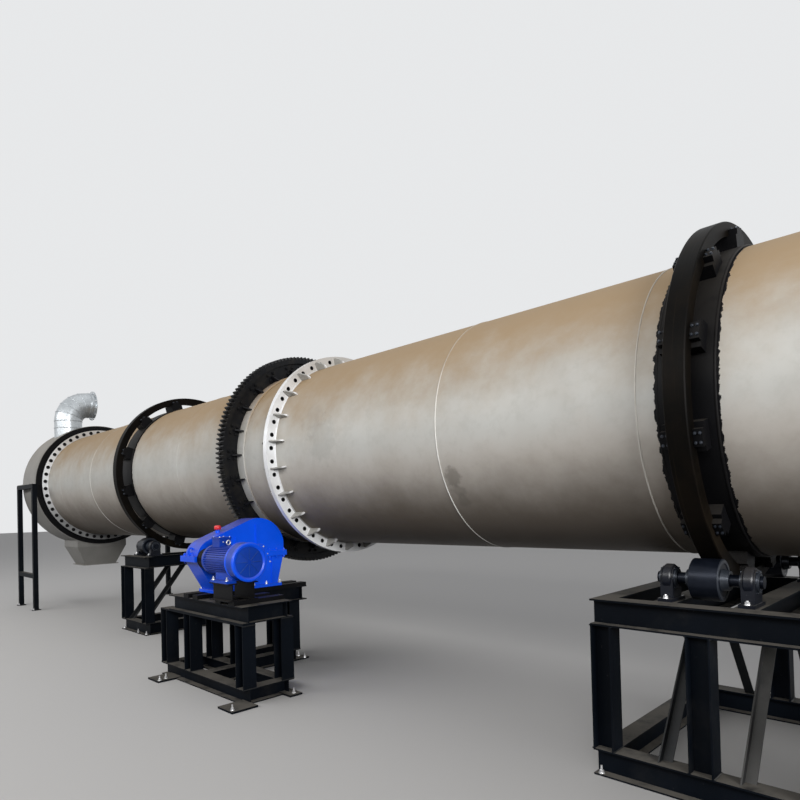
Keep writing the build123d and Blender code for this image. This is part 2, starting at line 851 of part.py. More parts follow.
def make_exhaust_elbow():
    """The exhaust elbow that stands on the hood's shoulder, with a lip round its mouth."""
    foot_z = axis_height + hood_radius * duct_foot_ratio
    mouth_y = duct_y + duct_bend + duct_mouth
    lip = Cylinder(duct_radius + duct_lip, duct_lip_thick)
    lip = Pos(-hood_mid_x, mouth_y - duct_lip_thick / 2, duct_top_z + duct_bend) * Rot(90, 0, 0) * lip
    skin = elbow_bar(duct_radius, foot_z, mouth_y) + lip
    bore = elbow_bar(duct_radius - duct_wall, foot_z - 1, mouth_y + 1)
    return skin - bore - rod(-hood_back_x, -hood_front_x, hood_radius)


def make_feed_hood():
    """The feed hood's wall, open on top under the feed chute."""
    return hood_wall_ring() - square_duct(feed_half, feed_half, axis_height + hood_radius / 2,
                                          axis_height + hood_radius + 1)


def make_feed_chute():
    """The square chute that stands on the feed hood."""
    top = axis_height + hood_radius + feed_height
    low = axis_height + hood_radius - feed_low
    outer = feed_half + hood_wall
    chute = square_duct(outer, outer, low, top)
    chute += square_duct(outer + feed_lip, outer + feed_lip, top - feed_lip_thick, top)
    chute = chute - square_duct(feed_half, feed_half, low - 1, top + 1)
    return chute - rod(hood_front_x, hood_back_x, hood_radius)


def make_hood_legs(side):
    """Two frames beside a hood: a rail under its side plate, two legs and a tie."""
    half = leg_size / 2
    frames = []
    for s in (-1, 1):
        y0, y1 = s * leg_y - half, s * leg_y + half
        frame = box(leg_first_x - half, leg_second_x + half, y0, y1,
                    axis_height - leg_size, axis_height)
        frame += box(leg_first_x, leg_second_x, y0, y1, leg_bar_z, leg_bar_z + leg_size)
        for x in (leg_first_x, leg_second_x):
            over = half + leg_foot_over
            frame += box(x - half, x + half, y0, y1, 0, axis_height)
            frame += box(x - over, x + over, y0 - leg_foot_over, y1 + leg_foot_over,
                         0, leg_foot_thick)
        frames.append(at_side(frame, side))
    return Compound(children=frames)


nodes = {
    "drum_shell_far": lambda: make_shell(-1),
    "drum_shell_near": lambda: make_shell(1),
    "joint_flange_far": lambda: make_joint_flange(-1),
    "joint_flange_near": lambda: make_joint_flange(1),
    "end_flange_far": lambda: make_end_flange(-1),
    "end_flange_near": lambda: make_end_flange(1),
    "riding_ring_far": lambda: make_riding_ring(far_ring_x),
    "riding_ring_near": lambda: make_riding_ring(near_ring_x),
    "ring_seat_far": lambda: make_ring_seat(far_ring_x),
    "ring_seat_near": lambda: make_ring_seat(near_ring_x),
    "girth_gear": make_girth_gear,
    "gear_seat": make_gear_seat,
    "pinion": make_pinion,
    "roller_far_front": lambda: make_roller(far_ring_x, -1),
    "roller_far_back": lambda: make_roller(far_ring_x, 1),
    "roller_near_front": lambda: make_roller(near_ring_x, -1),
    "roller_near_back": lambda: make_roller(near_ring_x, 1),
    "roller_bearings_far": lambda: make_roller_bearings(far_ring_x),
    "roller_bearings_near": lambda: make_roller_bearings(near_ring_x),
    "stand_top_far": lambda: make_stand_top(far_ring_x, far_half_length),
    "stand_top_near": lambda: make_stand_top(near_ring_x, near_half_length),
    "stand_posts_far": lambda: make_stand_posts(far_ring_x, (-far_post_step, far_post_step)),
    "stand_posts_near": lambda: make_stand_posts(near_ring_x, (-near_post_step, 0, near_post_step)),
    "stand_base_far": lambda: make_stand_base(far_ring_x, far_half_length),
    "stand_base_near": lambda: make_stand_base(near_ring_x, near_half_length),
    "stand_braces_far": lambda: make_stand_braces(far_ring_x),
    "stand_braces_near": lambda: make_stand_braces(near_ring_x),
    "drive_stand_top": make_drive_top,
    "drive_stand_base": make_drive_base,
    "drive_stand_posts": make_drive_posts,
    "drive_packers": make_drive_packers,
    "reducer_lower": make_reducer_lower,
    "reducer_upper": make_reducer_upper,
    "pinion_bearing": make_pinion_bearing,
    "motor": make_motor,
    "motor_coupling": make_coupling,
    "discharge_hood": make_discharge_hood,
    "discharge_plates": lambda: Compound(children=[at_side(p, -1) for p in hood_plates(0)]),
    "exhaust_elbow": make_exhaust_elbow,
    "discharge_legs": lambda: make_hood_legs(-1),
    "feed_hood": make_feed_hood,
    "feed_plates": lambda: Compound(children=hood_plates(gas_inlet_radius)),
    "feed_chute": make_feed_chute,
    "feed_legs": lambda: make_hood_legs(1),
}

os.makedirs("parts", exist_ok=True)
for name, make in nodes.items():
    export_step(Pos(0, -plan_middle, 0) * make(), f"parts/{name}.step")
    print(name)
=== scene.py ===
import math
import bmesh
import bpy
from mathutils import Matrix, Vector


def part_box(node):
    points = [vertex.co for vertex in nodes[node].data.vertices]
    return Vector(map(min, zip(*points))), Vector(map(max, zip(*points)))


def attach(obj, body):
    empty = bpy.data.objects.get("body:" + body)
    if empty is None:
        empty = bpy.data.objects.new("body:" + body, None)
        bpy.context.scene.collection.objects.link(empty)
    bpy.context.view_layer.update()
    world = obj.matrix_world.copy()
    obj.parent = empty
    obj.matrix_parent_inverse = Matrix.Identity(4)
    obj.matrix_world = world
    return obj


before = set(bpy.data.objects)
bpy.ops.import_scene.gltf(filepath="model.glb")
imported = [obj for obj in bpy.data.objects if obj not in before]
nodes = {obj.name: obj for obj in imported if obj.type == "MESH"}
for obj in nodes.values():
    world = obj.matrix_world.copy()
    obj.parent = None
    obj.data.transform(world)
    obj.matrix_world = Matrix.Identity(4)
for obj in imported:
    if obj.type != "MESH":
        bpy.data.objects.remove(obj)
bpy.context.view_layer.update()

# %% [markdown]
# # A rotary drum dryer, dressed for its picture
# The drum turns on two riding rings. A girth gear and a pinion turn it, and a motor and a
# reducer on a steel stand drive the pinion. The CAD model already has every part in its
# right place, so this lesson only adds what makes each part look real: the finish of its
# paint, the dust on it, and the small things that CAD leaves out, such as bolts.
# We measure the model first. The finished scene has to stay inside the same box.

# %% [markdown]
# ## The camera
# The photograph looks along the drum from beside the near support, at eye height. The
# camera's place and direction were worked out from the round edges of the rings. A camera
# needs a matrix whose columns are its right, its up and its backward direction, so we build
# those three from the yaw, the pitch and a small roll. A little vertical shift keeps the
# posts upright, as the photograph does.

# %% Place the camera
CAMERA_PLACE = Vector((4.762, -3.849, 1.5445))
YAW, PITCH, ROLL = (math.radians(angle) for angle in (44.444, 0.8136, 1.4528))
LENS, SENSOR, SHIFT_UP, SIGHT = 27.26, 36, 0.125, 200


def new_object(name, data):
    """An object in the scene that shows this data."""
    thing = bpy.data.objects.new(name, data)
    bpy.context.scene.collection.objects.link(thing)
    return thing


def camera_axes(yaw, pitch, roll):
    """The camera's right, up and backward directions."""
    level = math.cos(pitch)
    forward = Vector((-math.sin(yaw) * level, math.cos(yaw) * level, math.sin(pitch)))
    right = Vector((math.cos(yaw), math.sin(yaw), 0))
    down = forward.cross(right)
    turned_right = math.cos(roll) * right + math.sin(roll) * down
    turned_down = -math.sin(roll) * right + math.cos(roll) * down
    return turned_right, -turned_down, -forward


camera = new_object("camera", bpy.data.cameras.new("camera"))
camera.data.lens = LENS
camera.data.sensor_width = SENSOR
camera.data.shift_y = SHIFT_UP
camera.data.clip_end = SIGHT
columns = camera_axes(YAW, PITCH, ROLL)
turn = Matrix([[column[row] for column in columns] for row in range(3)])
camera.matrix_world = Matrix.Translation(CAMERA_PLACE) @ turn.to_4x4()
bpy.context.scene.camera = camera
bpy.context.scene.view_settings.view_transform = "Standard"
print("camera at", [round(v, 3) for v in camera.location], "with a lens of", camera.data.lens)

# %% [markdown]
# ## Measure what everything turns about
# The drum's axis and its main radii are read from the CAD pieces' own boxes. Later steps use
# them to place bolts and welds, so nothing has to be fitted by eye.

# %% Read the axis and the main radii
ring_low, ring_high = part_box("riding_ring_near")
shell_low, shell_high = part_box("drum_shell_near")
seat_low, seat_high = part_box("ring_seat_near")
AXIS_Y, AXIS_Z = ((ring_low[i] + ring_high[i]) / 2 for i in (1, 2))
DRUM_LINE = (AXIS_Y, AXIS_Z)
SHELL_RADIUS = (shell_high[2] - shell_low[2]) / 2
SEAT_HALF = (seat_high[0] - seat_low[0]) / 2


def middle(node):
    """The middle of a CAD node's box, in metres."""
    low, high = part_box(node)
    return Vector([(a + b) / 2 for a, b in zip(low, high)])


def line_of(node):
    """The line along X through a node's middle, as (y, z)."""
    centre = middle(node)
    return centre.y, centre.z


NEAR_RING, FAR_RING, GEAR = (middle(node).x for node in
                             ("riding_ring_near", "riding_ring_far", "girth_gear"))
print("axis at y", round(AXIS_Y, 4), "z", round(AXIS_Z, 4), "shell radius", round(SHELL_RADIUS, 4))
print("rings at x", round(NEAR_RING, 3), round(FAR_RING, 3), "gear at x", round(GEAR, 3))

# %% [markdown]
# ## A helper for node trees
# The world, the floor, every finish and every Geometry Nodes tree below is a small network of
# nodes. One class adds nodes, fills their sockets and does a step of arithmetic, so that the
# rest of the lesson reads as a recipe and not as wiring.

# %% Helper for node trees
class Net:
    """A node tree under construction."""

    def __init__(self, tree):
        self.tree = tree

    def add(self, kind, **settings):
        """A new node with the given settings."""
        node = self.tree.nodes.new(kind)
        for key, value in settings.items():
            setattr(node, key, value)
        return node

    def put(self, socket, value):
        """A value or another node's output goes into a socket."""
        if hasattr(value, "is_output"):
            self.tree.links.new(value, socket)
        else:
            socket.default_value = value

    def feed(self, node, **values):
        """Fills a node's named inputs and returns the first output in use."""
        for label, value in values.items():
            title = label.replace("_", " ")
            self.put(next(s for s in node.inputs if s.enabled and s.name == title), value)
        return next(s for s in node.outputs if s.enabled)

    def make(self, kind, **values):
        """A new node with its named inputs filled; returns its first output."""
        return self.feed(self.add(kind), **values)

    def split(self, vector):
        """The X, Y and Z of a vector."""
        node = self.add("ShaderNodeSeparateXYZ")
        self.put(node.inputs[0], vector)
        return node.outputs

    def maths(self, what, a, b=0.0):
        """One step of arithmetic."""
        node = self.add("ShaderNodeMath", operation=what)
        self.put(node.inputs[0], a)
        self.put(node.inputs[1], b)
        return node.outputs[0]

    def times(self, a, b):
        """One value times another."""
        return self.maths("MULTIPLY", a, b)


print("node helper ready")

# %% [markdown]
# ## Light and floor
# The real dryer is lit from one long side, so its flank is bright, its top is duller and its
# belly is dark. A long low lamp on that side does this. A second lamp lights the near end, a
# faint one hangs overhead, and a weak sky fills the rest. Camera, mirror and glass rays see a
# pale backdrop and a pale floor, through the Light Path node. Soft rays see a darker floor, so
# that it throws little light back up on the belly, while it still takes the dryer's shadow.

# %% World
PALE_BACKDROP = (0.80, 0.81, 0.82, 1)
SKY_STOPS = ((0.50, (0.03, 0.028, 0.026, 1)), (0.70, (0.36, 0.37, 0.39, 1)))


def pale_rays(net):
    """1 for camera, glossy and transmission rays, 0 for the soft ones."""
    rays = net.add("ShaderNodeLightPath").outputs
    seen = net.maths("MAXIMUM", rays["Is Camera Ray"], rays["Is Glossy Ray"])
    return net.maths("MAXIMUM", seen, rays["Is Transmission Ray"])


def build_world():
    """A soft sky, dark below the horizon, that the camera sees as a pale backdrop."""
    world = bpy.data.worlds.new("studio")
    bpy.context.scene.world = world
    world.use_nodes = True
    world.node_tree.nodes.clear()
    net = Net(world.node_tree)
    height = net.split(net.add("ShaderNodeTexCoord").outputs["Generated"])["Z"]
    shade = net.add("ShaderNodeValToRGB")
    for stop, (place, colour) in zip(shade.color_ramp.elements, SKY_STOPS):
        stop.position, stop.color = place, colour
    net.feed(shade, Fac=net.make("ShaderNodeMapRange", Value=height, From_Min=-1))
    sky = net.make("ShaderNodeBackground", Color=shade.outputs["Color"])
    backdrop = net.make("ShaderNodeBackground", Color=PALE_BACKDROP)
    mix = net.add("ShaderNodeMixShader")
    for socket, value in zip(mix.inputs, (pale_rays(net), sky, backdrop)):
        net.put(socket, value)
    net.put(net.add("ShaderNodeOutputWorld").inputs["Surface"], mix.outputs[0])


build_world()
print("world made")

# %% Lamps
def add_lamp(name, place, target, size, power):
    """A rectangular lamp that faces a point; size is its width and height."""
    lamp = new_object(name, bpy.data.lights.new(name, "AREA"))
    lamp.data.shape = "RECTANGLE"
    lamp.data.size, lamp.data.size_y = size
    lamp.data.energy = power
    lamp.location = place
    lamp.rotation_euler = (Vector(target) - Vector(place)).to_track_quat("-Z", "Y").to_euler()
    return lamp


add_lamp("long_side_lamp", (-1, -11, 6.9), (-1, 0, 2.5), (26, 3.0), 1330)
near_end_lamp = add_lamp("near_end_lamp", (15, -6, 4.6), (1, 0, 1.6), (6, 4), 1700)
add_lamp("high_lamp", (-3, 0, 13), (-3, 0.2, 2), (16, 6), 120)

# %% Floor
FLOOR_HALF = 70
PALE_FLOOR, SOFT_FLOOR = (0.60, 0.585, 0.565, 1), (0.022, 0.020, 0.018, 1)


def build_floor():
    """A pale floor, large enough to reach the horizon."""
    mesh = bpy.data.meshes.new("studio_floor")
    corners = [(x * FLOOR_HALF, y * FLOOR_HALF, 0) for x, y in ((-1, -1), (1, -1), (1, 1), (-1, 1))]
    mesh.from_pydata(corners, [], [(0, 1, 2, 3)])
    material = bpy.data.materials.new("pale_floor")
    material.use_nodes = True
    net = Net(material.node_tree)
    mix = net.add("ShaderNodeMix", data_type="RGBA")
    for number, value in ((6, SOFT_FLOOR), (7, PALE_FLOOR), (0, pale_rays(net))):
        net.put(mix.inputs[number], value)
    net.feed(net.tree.nodes["Principled BSDF"], Base_Color=mix.outputs[2], Roughness=0.85,
             Specular_IOR_Level=0.2)
    mesh.materials.append(material)
    return new_object("studio_floor", mesh)


floor = build_floor()
print("floor made")

# %% [markdown]
# ## Keep the near lamp off the floor
# The near lamp stands low and close, so it would burn a bright patch into the floor beside the
# feed end. A receiver list that leaves the floor out keeps its light on the machine alone.

# %% Light all but the floor
def light_all_but(lamp, piece):
    """Let a lamp light every piece except one."""
    left_out = bpy.data.collections.new(f"not_lit_by_{lamp.name}")
    left_out.objects.link(piece)
    lamp.light_linking.receiver_collection = left_out
    left_out.collection_objects[0].light_linking.link_state = "EXCLUDE"


light_all_but(near_end_lamp, floor)
print(near_end_lamp.name, "lights all but", floor.name)

# %% [markdown]
# ## Helpers for finishes
# In a finish the same few steps come again and again: a noise in the part's own coordinates, a
# ramp that turns it into a mask, and a mix of two colours. Writing these as helpers keeps each
# finish short. We read Object coordinates, so that a pattern keeps its place on the steel when
# the drum turns. Each finished material is kept under its name in `LOOKS`.

# %% Helpers for finishes
LOOKS = {}


class Finish(Net):
    """A material under construction, with short calls for the nodes that we use often."""

    def __init__(self, name):
        self.name = name
        self.material = bpy.data.materials.new(name)
        self.material.use_nodes = True
        super().__init__(self.material.node_tree)
        self.shader = self.tree.nodes["Principled BSDF"]
        self.place = self.add("ShaderNodeTexCoord").outputs["Object"]

    def noise(self, scale, detail=4, rough=0.55, stretch=None):
        """Cloudy noise from 0 to 1, in coordinates that may be scaled along each axis."""
        place = self.place
        if stretch:
            place = self.make("ShaderNodeMapping", Vector=place, Scale=stretch)
        return self.make("ShaderNodeTexNoise", Vector=place, Scale=scale, Detail=detail,
                         Roughness=rough)

    def band(self, value, low, high):
        """0 below low, 1 above high, smooth between them."""
        node = self.add("ShaderNodeMapRange", interpolation_type="SMOOTHSTEP")
        return self.feed(node, Value=value, From_Min=low, From_Max=high)

    def blend(self, amount, first, second):
        """The first colour where the amount is 0, the second where it is 1."""
        node = self.add("ShaderNodeMix", data_type="RGBA", clamp_factor=True)
        self.put(node.inputs[0], amount)
        for socket, colour in ((node.inputs[6], first), (node.inputs[7], second)):
            self.put(socket, colour if hasattr(colour, "is_output") else (*colour, 1))
        return node.outputs[2]

    def patches(self, clouds, low, high, first, second):
        """Two tones in soft patches, made from some noise."""
        return self.blend(self.band(clouds, low, high), first, second)

    def film(self, colour, value, low, high, share, other):
        """Another colour over the first, where a value goes from low to high."""
        return self.blend(self.times(self.band(value, low, high), share), colour, other)

    def levels(self, amount, first, second):
        """A number that goes from first to second with the amount."""
        node = self.add("ShaderNodeMapRange", clamp=True)
        return self.feed(node, Value=amount, To_Min=first, To_Max=second)

    def axis(self, letter):
        """One coordinate of the part, in metres."""
        return self.split(self.place)[letter]

    def facing_up(self):
        """1 on faces that look up at rest, 0 on upright ones."""
        normal = self.add("ShaderNodeTexCoord").outputs["Normal"]
        return self.maths("MAXIMUM", self.split(normal)["Z"], 0.0)

    def distance(self, place, point):
        """How far a place in the part is from a point, in metres."""
        node = self.add("ShaderNodeVectorMath", operation="DISTANCE")
        self.put(node.inputs[0], place)
        self.put(node.inputs[1], point)
        return node.outputs["Value"]

    def near(self, letter, value):
        """The distance along one axis from a place on it, in metres."""
        return self.maths("ABSOLUTE", self.maths("SUBTRACT", self.axis(letter), value))

    def height_on(self, radius):
        """Where a point is on a round of this radius about the drum's axis: -1 low, 1 high."""
        return self.maths("DIVIDE", self.maths("SUBTRACT", self.axis("Z"), AXIS_Z), radius)

    def ragged(self, scale, detail, rough, level, amount):
        """Noise about a level, as a push to and fro on an edge."""
        return self.times(self.maths("SUBTRACT", self.noise(scale, detail, rough), level), amount)

    def bump(self, height, depth, strength=1.0):
        """Small relief from a height map, with its depth in metres."""
        relief = self.make("ShaderNodeBump", Height=height, Distance=depth, Strength=strength)
        self.feed(self.shader, Normal=relief)

    def done(self, colour, rough, metal=0.0, shine=0.5):
        """Connects the main values and keeps the material."""
        self.feed(self.shader, Base_Color=colour, Roughness=rough, Metallic=metal,
                  Specular_IOR_Level=shine)
        LOOKS[self.name] = self.material


print("helpers for finishes ready")

# %% [markdown]
# ## Painted steel with dust
# Most of this machine is painted steel that has stood in dust for a while. One recipe covers
# it: two tones of the paint in soft patches, dust that settles on whatever looks up, and paint
# that has chipped in small spots. Each use chooses its own colours and amounts. The braces are
# grey, but those left of the near ring are nearly black in the picture, so that paint changes
# at a place along X.

# %% Dusty paints
BRACE_BLACK = (0.002, 0.003, 0.0042)


def dusty_paint(name, tone, second, dust, share, rough, chips, coat=0.0, shine=0.5, black_to=None):
    """Paint in two close tones, with dust on top faces and chips; black up to a place along X."""
    f = Finish(name)
    colour = f.patches(f.noise(1.7, 5), 0.35, 0.7, tone, second)
    if black_to is not None:
        clean = f.maths("LESS_THAN", black_to, f.axis("X"))
        colour = f.blend(clean, BRACE_BLACK, colour)
    fine = f.noise(38, 6, 0.7)
    colour = f.patches(f.noise(60, 3, 0.6), 0.70, 0.76, colour, chips)
    settled = f.times(f.facing_up(), f.band(f.noise(5, 6, 0.65), 0.22, 0.55))
    film = f.times(f.band(f.noise(2.6, 6, 0.7), 0.5, 0.9), 0.12)
    amount = f.times(f.maths("MAXIMUM", settled, film), share)
    if black_to is not None:
        amount = f.times(amount, f.levels(clean, 0.3, 1.0))
    colour = f.blend(amount, colour, dust)
    f.bump(fine, 0.0006, 0.5)
    f.feed(f.shader, Coat_Weight=coat, Coat_Roughness=0.18)
    matt = f.maths("ADD", f.levels(fine, rough - 0.08, rough + 0.08), f.times(amount, 0.3))
    f.done(colour, matt, shine=shine)


dusty_paint("black_paint", (0.003, 0.003, 0.0035), (0.006, 0.006, 0.007),
            (0.06, 0.053, 0.045), 0.4, 0.45, (0.025, 0.023, 0.022), shine=0.08)
dusty_paint("stand_paint", (0.0016, 0.0026, 0.0044), (0.0034, 0.0052, 0.0085),
            (0.125, 0.115, 0.100), 0.78, 0.50, (0.03, 0.03, 0.033), shine=0.06)
dusty_paint("blue_paint", (0.0, 0.075, 0.76), (0.0, 0.095, 0.90),
            (0.10, 0.07, 0.058), 0.62, 0.34, (0.02, 0.05, 0.16), coat=0.15, shine=0.3)
dusty_paint("motor_paint", (0.0, 0.032, 0.32), (0.001, 0.050, 0.44),
            (0.10, 0.08, 0.07), 0.35, 0.38, (0.02, 0.05, 0.16), coat=0.1, shine=0.3)
dusty_paint("guard_paint", (0.002, 0.038, 0.25), (0.006, 0.060, 0.34),
            (0.08, 0.075, 0.09), 0.4, 0.5, (0.03, 0.05, 0.12), shine=0.25)
dusty_paint("housing_paint", (0.0035, 0.0045, 0.008), (0.007, 0.009, 0.015),
            (0.08, 0.072, 0.064), 0.4, 0.30, (0.03, 0.03, 0.035), coat=0.10, shine=0.22)
dusty_paint("hood_paint", (0.20, 0.195, 0.18), (0.26, 0.25, 0.235),
            (0.30, 0.26, 0.21), 0.6, 0.5, (0.09, 0.08, 0.07))
dusty_paint("dark_steel", (0.0035, 0.0035, 0.004), (0.007, 0.0065, 0.0065),
            (0.055, 0.047, 0.04), 0.35, 0.46, (0.025, 0.02, 0.016), shine=0.08)
dusty_paint("brace_paint", (0.010, 0.011, 0.012), (0.024, 0.024, 0.024),
            (0.12, 0.115, 0.105), 0.40, 0.55, (0.08, 0.075, 0.07), shine=0.3, black_to=NEAR_RING)
print("paints made:", len(LOOKS))

# %% [markdown]
# ## Aluminium paint on the shell
# The shell is rolled plate under aluminium paint. Up close its flakes scatter light like a
# rough metal with little depth, so a small metallic share and a wide highlight suit it. Brown
# dust lies thick on the upper third and fades down the flank, and the belly is darkened with
# painted shade. A few oil marks are where the photograph shows them. The black paint of the
# ring seats was brushed on by hand, so it ends on the silver in a ragged edge. We make that
# edge from the distance to each ring plus a little noise.

# %% Shell paint
SMUDGES = (((2.070, -0.575, 1.755), 0.090, 0.55), ((2.083, -0.525, 1.660), 0.070, 0.40),
           ((2.090, -0.478, 1.585), 0.072, 0.50), ((0.944, -0.385, 1.478), 0.040, 0.60),
           ((1.248, -0.350, 1.445), 0.042, 0.55), ((0.718, -0.649, 2.141), 0.240, 0.16),
           ((0.550, -0.560, 2.300), 0.200, 0.12))
SHELL_TONES = ((0.50, 0.495, 0.465), (0.44, 0.43, 0.40))
STREAK, MOTTLE, TOP_DUST = (0.39, 0.375, 0.34), (0.33, 0.315, 0.285), (0.312, 0.212, 0.112)
# The middle colour on the next line is painted shade that darkens the belly.
WARM_FILM, BELLY_PAINTED_SHADE, OIL = (0.60, 0.45, 0.35), (0.100, 0.078, 0.058), (0.15, 0.135, 0.115)
SEAT_BLACK = (0.006, 0.006, 0.007)


def smudge(f, place, reach):
    """1 at a hand-sized oil mark on the shell, 0 away from it, with a broken edge."""
    away = f.maths("ADD", f.distance(f.place, place), f.ragged(14, 5, 0.65, 0.5, 1.6 * reach))
    return f.maths("SUBTRACT", 1.0, f.band(away, 0.45 * reach, reach))


def black_edges(f):
    """1 under the hand-brushed black beside each ring seat, with a ragged edge."""
    edge = f.ragged(17, 6, 0.7, 0.40, 0.058)
    marks = [f.maths("LESS_THAN", f.maths("SUBTRACT", f.near("X", ring), SEAT_HALF + 0.012), edge)
             for ring in (NEAR_RING, FAR_RING)]
    return f.maths("MAXIMUM", *marks)


def shell_paint():
    """Satin aluminium paint, dusty on top, with painted shade on the belly and the brushed black edges
    beside the rings.
    """
    f = Finish("drum_paint")
    clouds = f.noise(1.3, 6, 0.6)
    bands = f.noise(1.0, 3, 0.5, stretch=(2.2, 0.3, 0.3))
    colour = f.patches(clouds, 0.35, 0.75, *SHELL_TONES)
    colour = f.film(colour, bands, 0.42, 0.72, 0.22, STREAK)
    colour = f.film(colour, f.noise(13, 5, 0.65), 0.44, 0.70, 0.20, MOTTLE)
    high = f.height_on(SHELL_RADIUS)
    uneven = f.ragged(2.3, 6, 0.65, 0.5, 0.75)
    dust = f.band(f.maths("ADD", high, uneven), -0.08, 0.78)
    colour = f.blend(f.times(dust, 0.90), colour, TOP_DUST)
    low = f.maths("ADD", f.times(high, -1.0), f.times(uneven, 0.45))
    colour = f.film(colour, low, 0.0, 0.35, 0.20, WARM_FILM)
    # Painted shade: the belly darkens towards the bottom.
    colour = f.film(colour, low, 0.10, 0.80, 0.85, BELLY_PAINTED_SHADE)
    for place, reach, strength in SMUDGES:
        colour = f.blend(f.times(smudge(f, place, reach), strength), colour, OIL)
    edge = black_edges(f)
    colour = f.blend(edge, colour, SEAT_BLACK)
    fine = f.noise(170, 3, 0.6)
    f.bump(f.maths("ADD", f.times(fine, 0.2), f.times(bands, 0.8)), 0.002, 0.25)
    f.feed(f.shader, IOR=1.25)
    rough = f.levels(f.maths("ADD", clouds, f.times(dust, 0.6)), 0.36, 0.60)
    f.done(colour, rough, f.levels(f.maths("MAXIMUM", dust, edge), 0.07, 0.02), 0.25)


shell_paint()
print("shell paint made, with", len(SMUDGES), "smudges")

# %% [markdown]
# ## Bright paint, bare steel, grease and zinc
# The bolted joint has fresh silver-white paint, and its gussets are silver with a painted highlight at
# their tips. The plain white paint darkens towards the bottom as painted shade.
# The weld seams are brushed over with silver, painted paler than the plate as a highlight. The rings
# and rollers are bare steel that polishes itself where it rolls, so their rolling faces show fine
# lines round the drum.
# The gear carries black grease. The elbow is galvanised sheet, whose zinc has frozen in large
# flat crystals. The gear's collar is silver like the shell, and its brackets are black above a
# brushed line.

# %% White paint and seam paint
def bright_paint(name="white_paint", plate_edge=None):
    """Silver-white paint, dusty on top; past the plate's edge the gussets are silver with a painted
    highlight at their tips, and without a plate edge the paint darkens towards the bottom as painted
    shade.
    """
    f = Finish(name)
    clouds = f.noise(5, 5, 0.6)
    colour = f.patches(clouds, 0.4, 0.8, (0.84, 0.85, 0.86), (0.68, 0.68, 0.68))
    high = f.maths("ADD", f.height_on(SHELL_RADIUS), f.times(clouds, 0.4))
    colour = f.film(colour, high, 0.55, 1.25, 0.7, (0.42, 0.38, 0.33))
    colour = f.patches(f.noise(55, 3, 0.6), 0.71, 0.77, colour, (0.25, 0.23, 0.21))
    if plate_edge:
        away = f.near("X", 0.0)
        # Painted highlight: the gussets' silver brightens towards their tips.
        silver = f.patches(away, 0.135, 0.165, (0.33, 0.322, 0.30), (0.72, 0.72, 0.72))
        colour = f.patches(away, plate_edge, plate_edge + 0.003, colour, silver)
    else:
        # Painted shade: without a plate edge the paint darkens towards the bottom.
        low = f.maths("ADD", f.times(high, -1.0), f.times(clouds, 0.4))
        colour = f.film(colour, low, 0.1, 0.8, 0.75, (0.13, 0.13, 0.128))
    f.bump(f.noise(90, 3), 0.0006, 0.4)
    f.done(colour, f.levels(clouds, 0.32, 0.48), 0.15)


def seam_silver():
    """Aluminium paint brushed over a weld, paler than the plate as a painted highlight, and dusty
    towards the top.
    """
    f = Finish("seam_paint")
    clouds = f.noise(3, 4, 0.6)
    colour = f.patches(clouds, 0.35, 0.7, (0.74, 0.735, 0.70), (0.52, 0.505, 0.46))
    colour = f.film(colour, f.height_on(SHELL_RADIUS), 0.05, 0.60, 0.85, (0.30, 0.235, 0.165))
    # Past x = 2.7 m the painted highlight of the seams is dimmed.
    colour = f.film(colour, f.axis("X"), 2.6, 2.7, 0.55, (0.42, 0.38, 0.32))
    f.bump(f.noise(80, 3), 0.0006, 0.4)
    f.done(colour, f.levels(clouds, 0.35, 0.5), 0.1)


bright_paint()
bright_paint("joint_paint", 0.026)
seam_silver()
print("looks so far:", list(LOOKS))

# %% Bare steel and grease
def plain_metal(name, noise, ramp, tones, relief, rough, metal, shine):
    """Steel in two tones, with a light relief."""
    f = Finish(name)
    clouds = f.noise(*noise)
    f.bump(f.noise(*relief[0]), *relief[1])
    f.done(f.patches(clouds, *ramp, *tones), f.levels(clouds, *rough), metal, shine)


def worn_metal():
    """Dark steel with a brown film, with fine bright lines where it rolls."""
    f = Finish("worn_steel")
    clouds = f.noise(4, 6, 0.65)
    lines = f.noise(1.0, 4, 0.6, stretch=(140, 1.2, 1.2))
    colour = f.patches(clouds, 0.35, 0.7, (0.0018, 0.0016, 0.0014), (0.005, 0.0036, 0.0024))
    colour = f.film(colour, lines, 0.58, 0.72, 0.35, (0.026, 0.019, 0.012))
    f.bump(f.noise(120, 4), 0.0005, 0.4)
    f.done(colour, f.levels(f.maths("ADD", clouds, lines), 0.30, 0.48), 0.02, 0.05)


worn_metal()
TURNED = ((1.0, 4, 0.6, (260, 6, 6)), (0.0004, 0.4))
plain_metal("roller_steel", (7, 5, 0.6), (0.3, 0.7), ((0.018, 0.022, 0.031), (0.050, 0.058, 0.072)),
            TURNED, (0.22, 0.40), 0.45, 0.5)
plain_metal("oiled_steel", (7, 5, 0.6), (0.3, 0.7), ((0.003, 0.0045, 0.009), (0.010, 0.013, 0.021)),
            TURNED, (0.22, 0.40), 0.45, 0.22)
plain_metal("greased_steel", (9, 5, 0.6), (0.4, 0.7), ((0.004, 0.0045, 0.006), (0.012, 0.011, 0.010)),
            ((70, 4), (0.001, 0.5)), (0.28, 0.50), 0.1, 0.2)
print("bare steels:", [name for name in LOOKS if name.endswith("_steel")])

# %% Zinc, red plastic and the collar
BRACKET_BLACK = (0.005, 0.005, 0.0065)


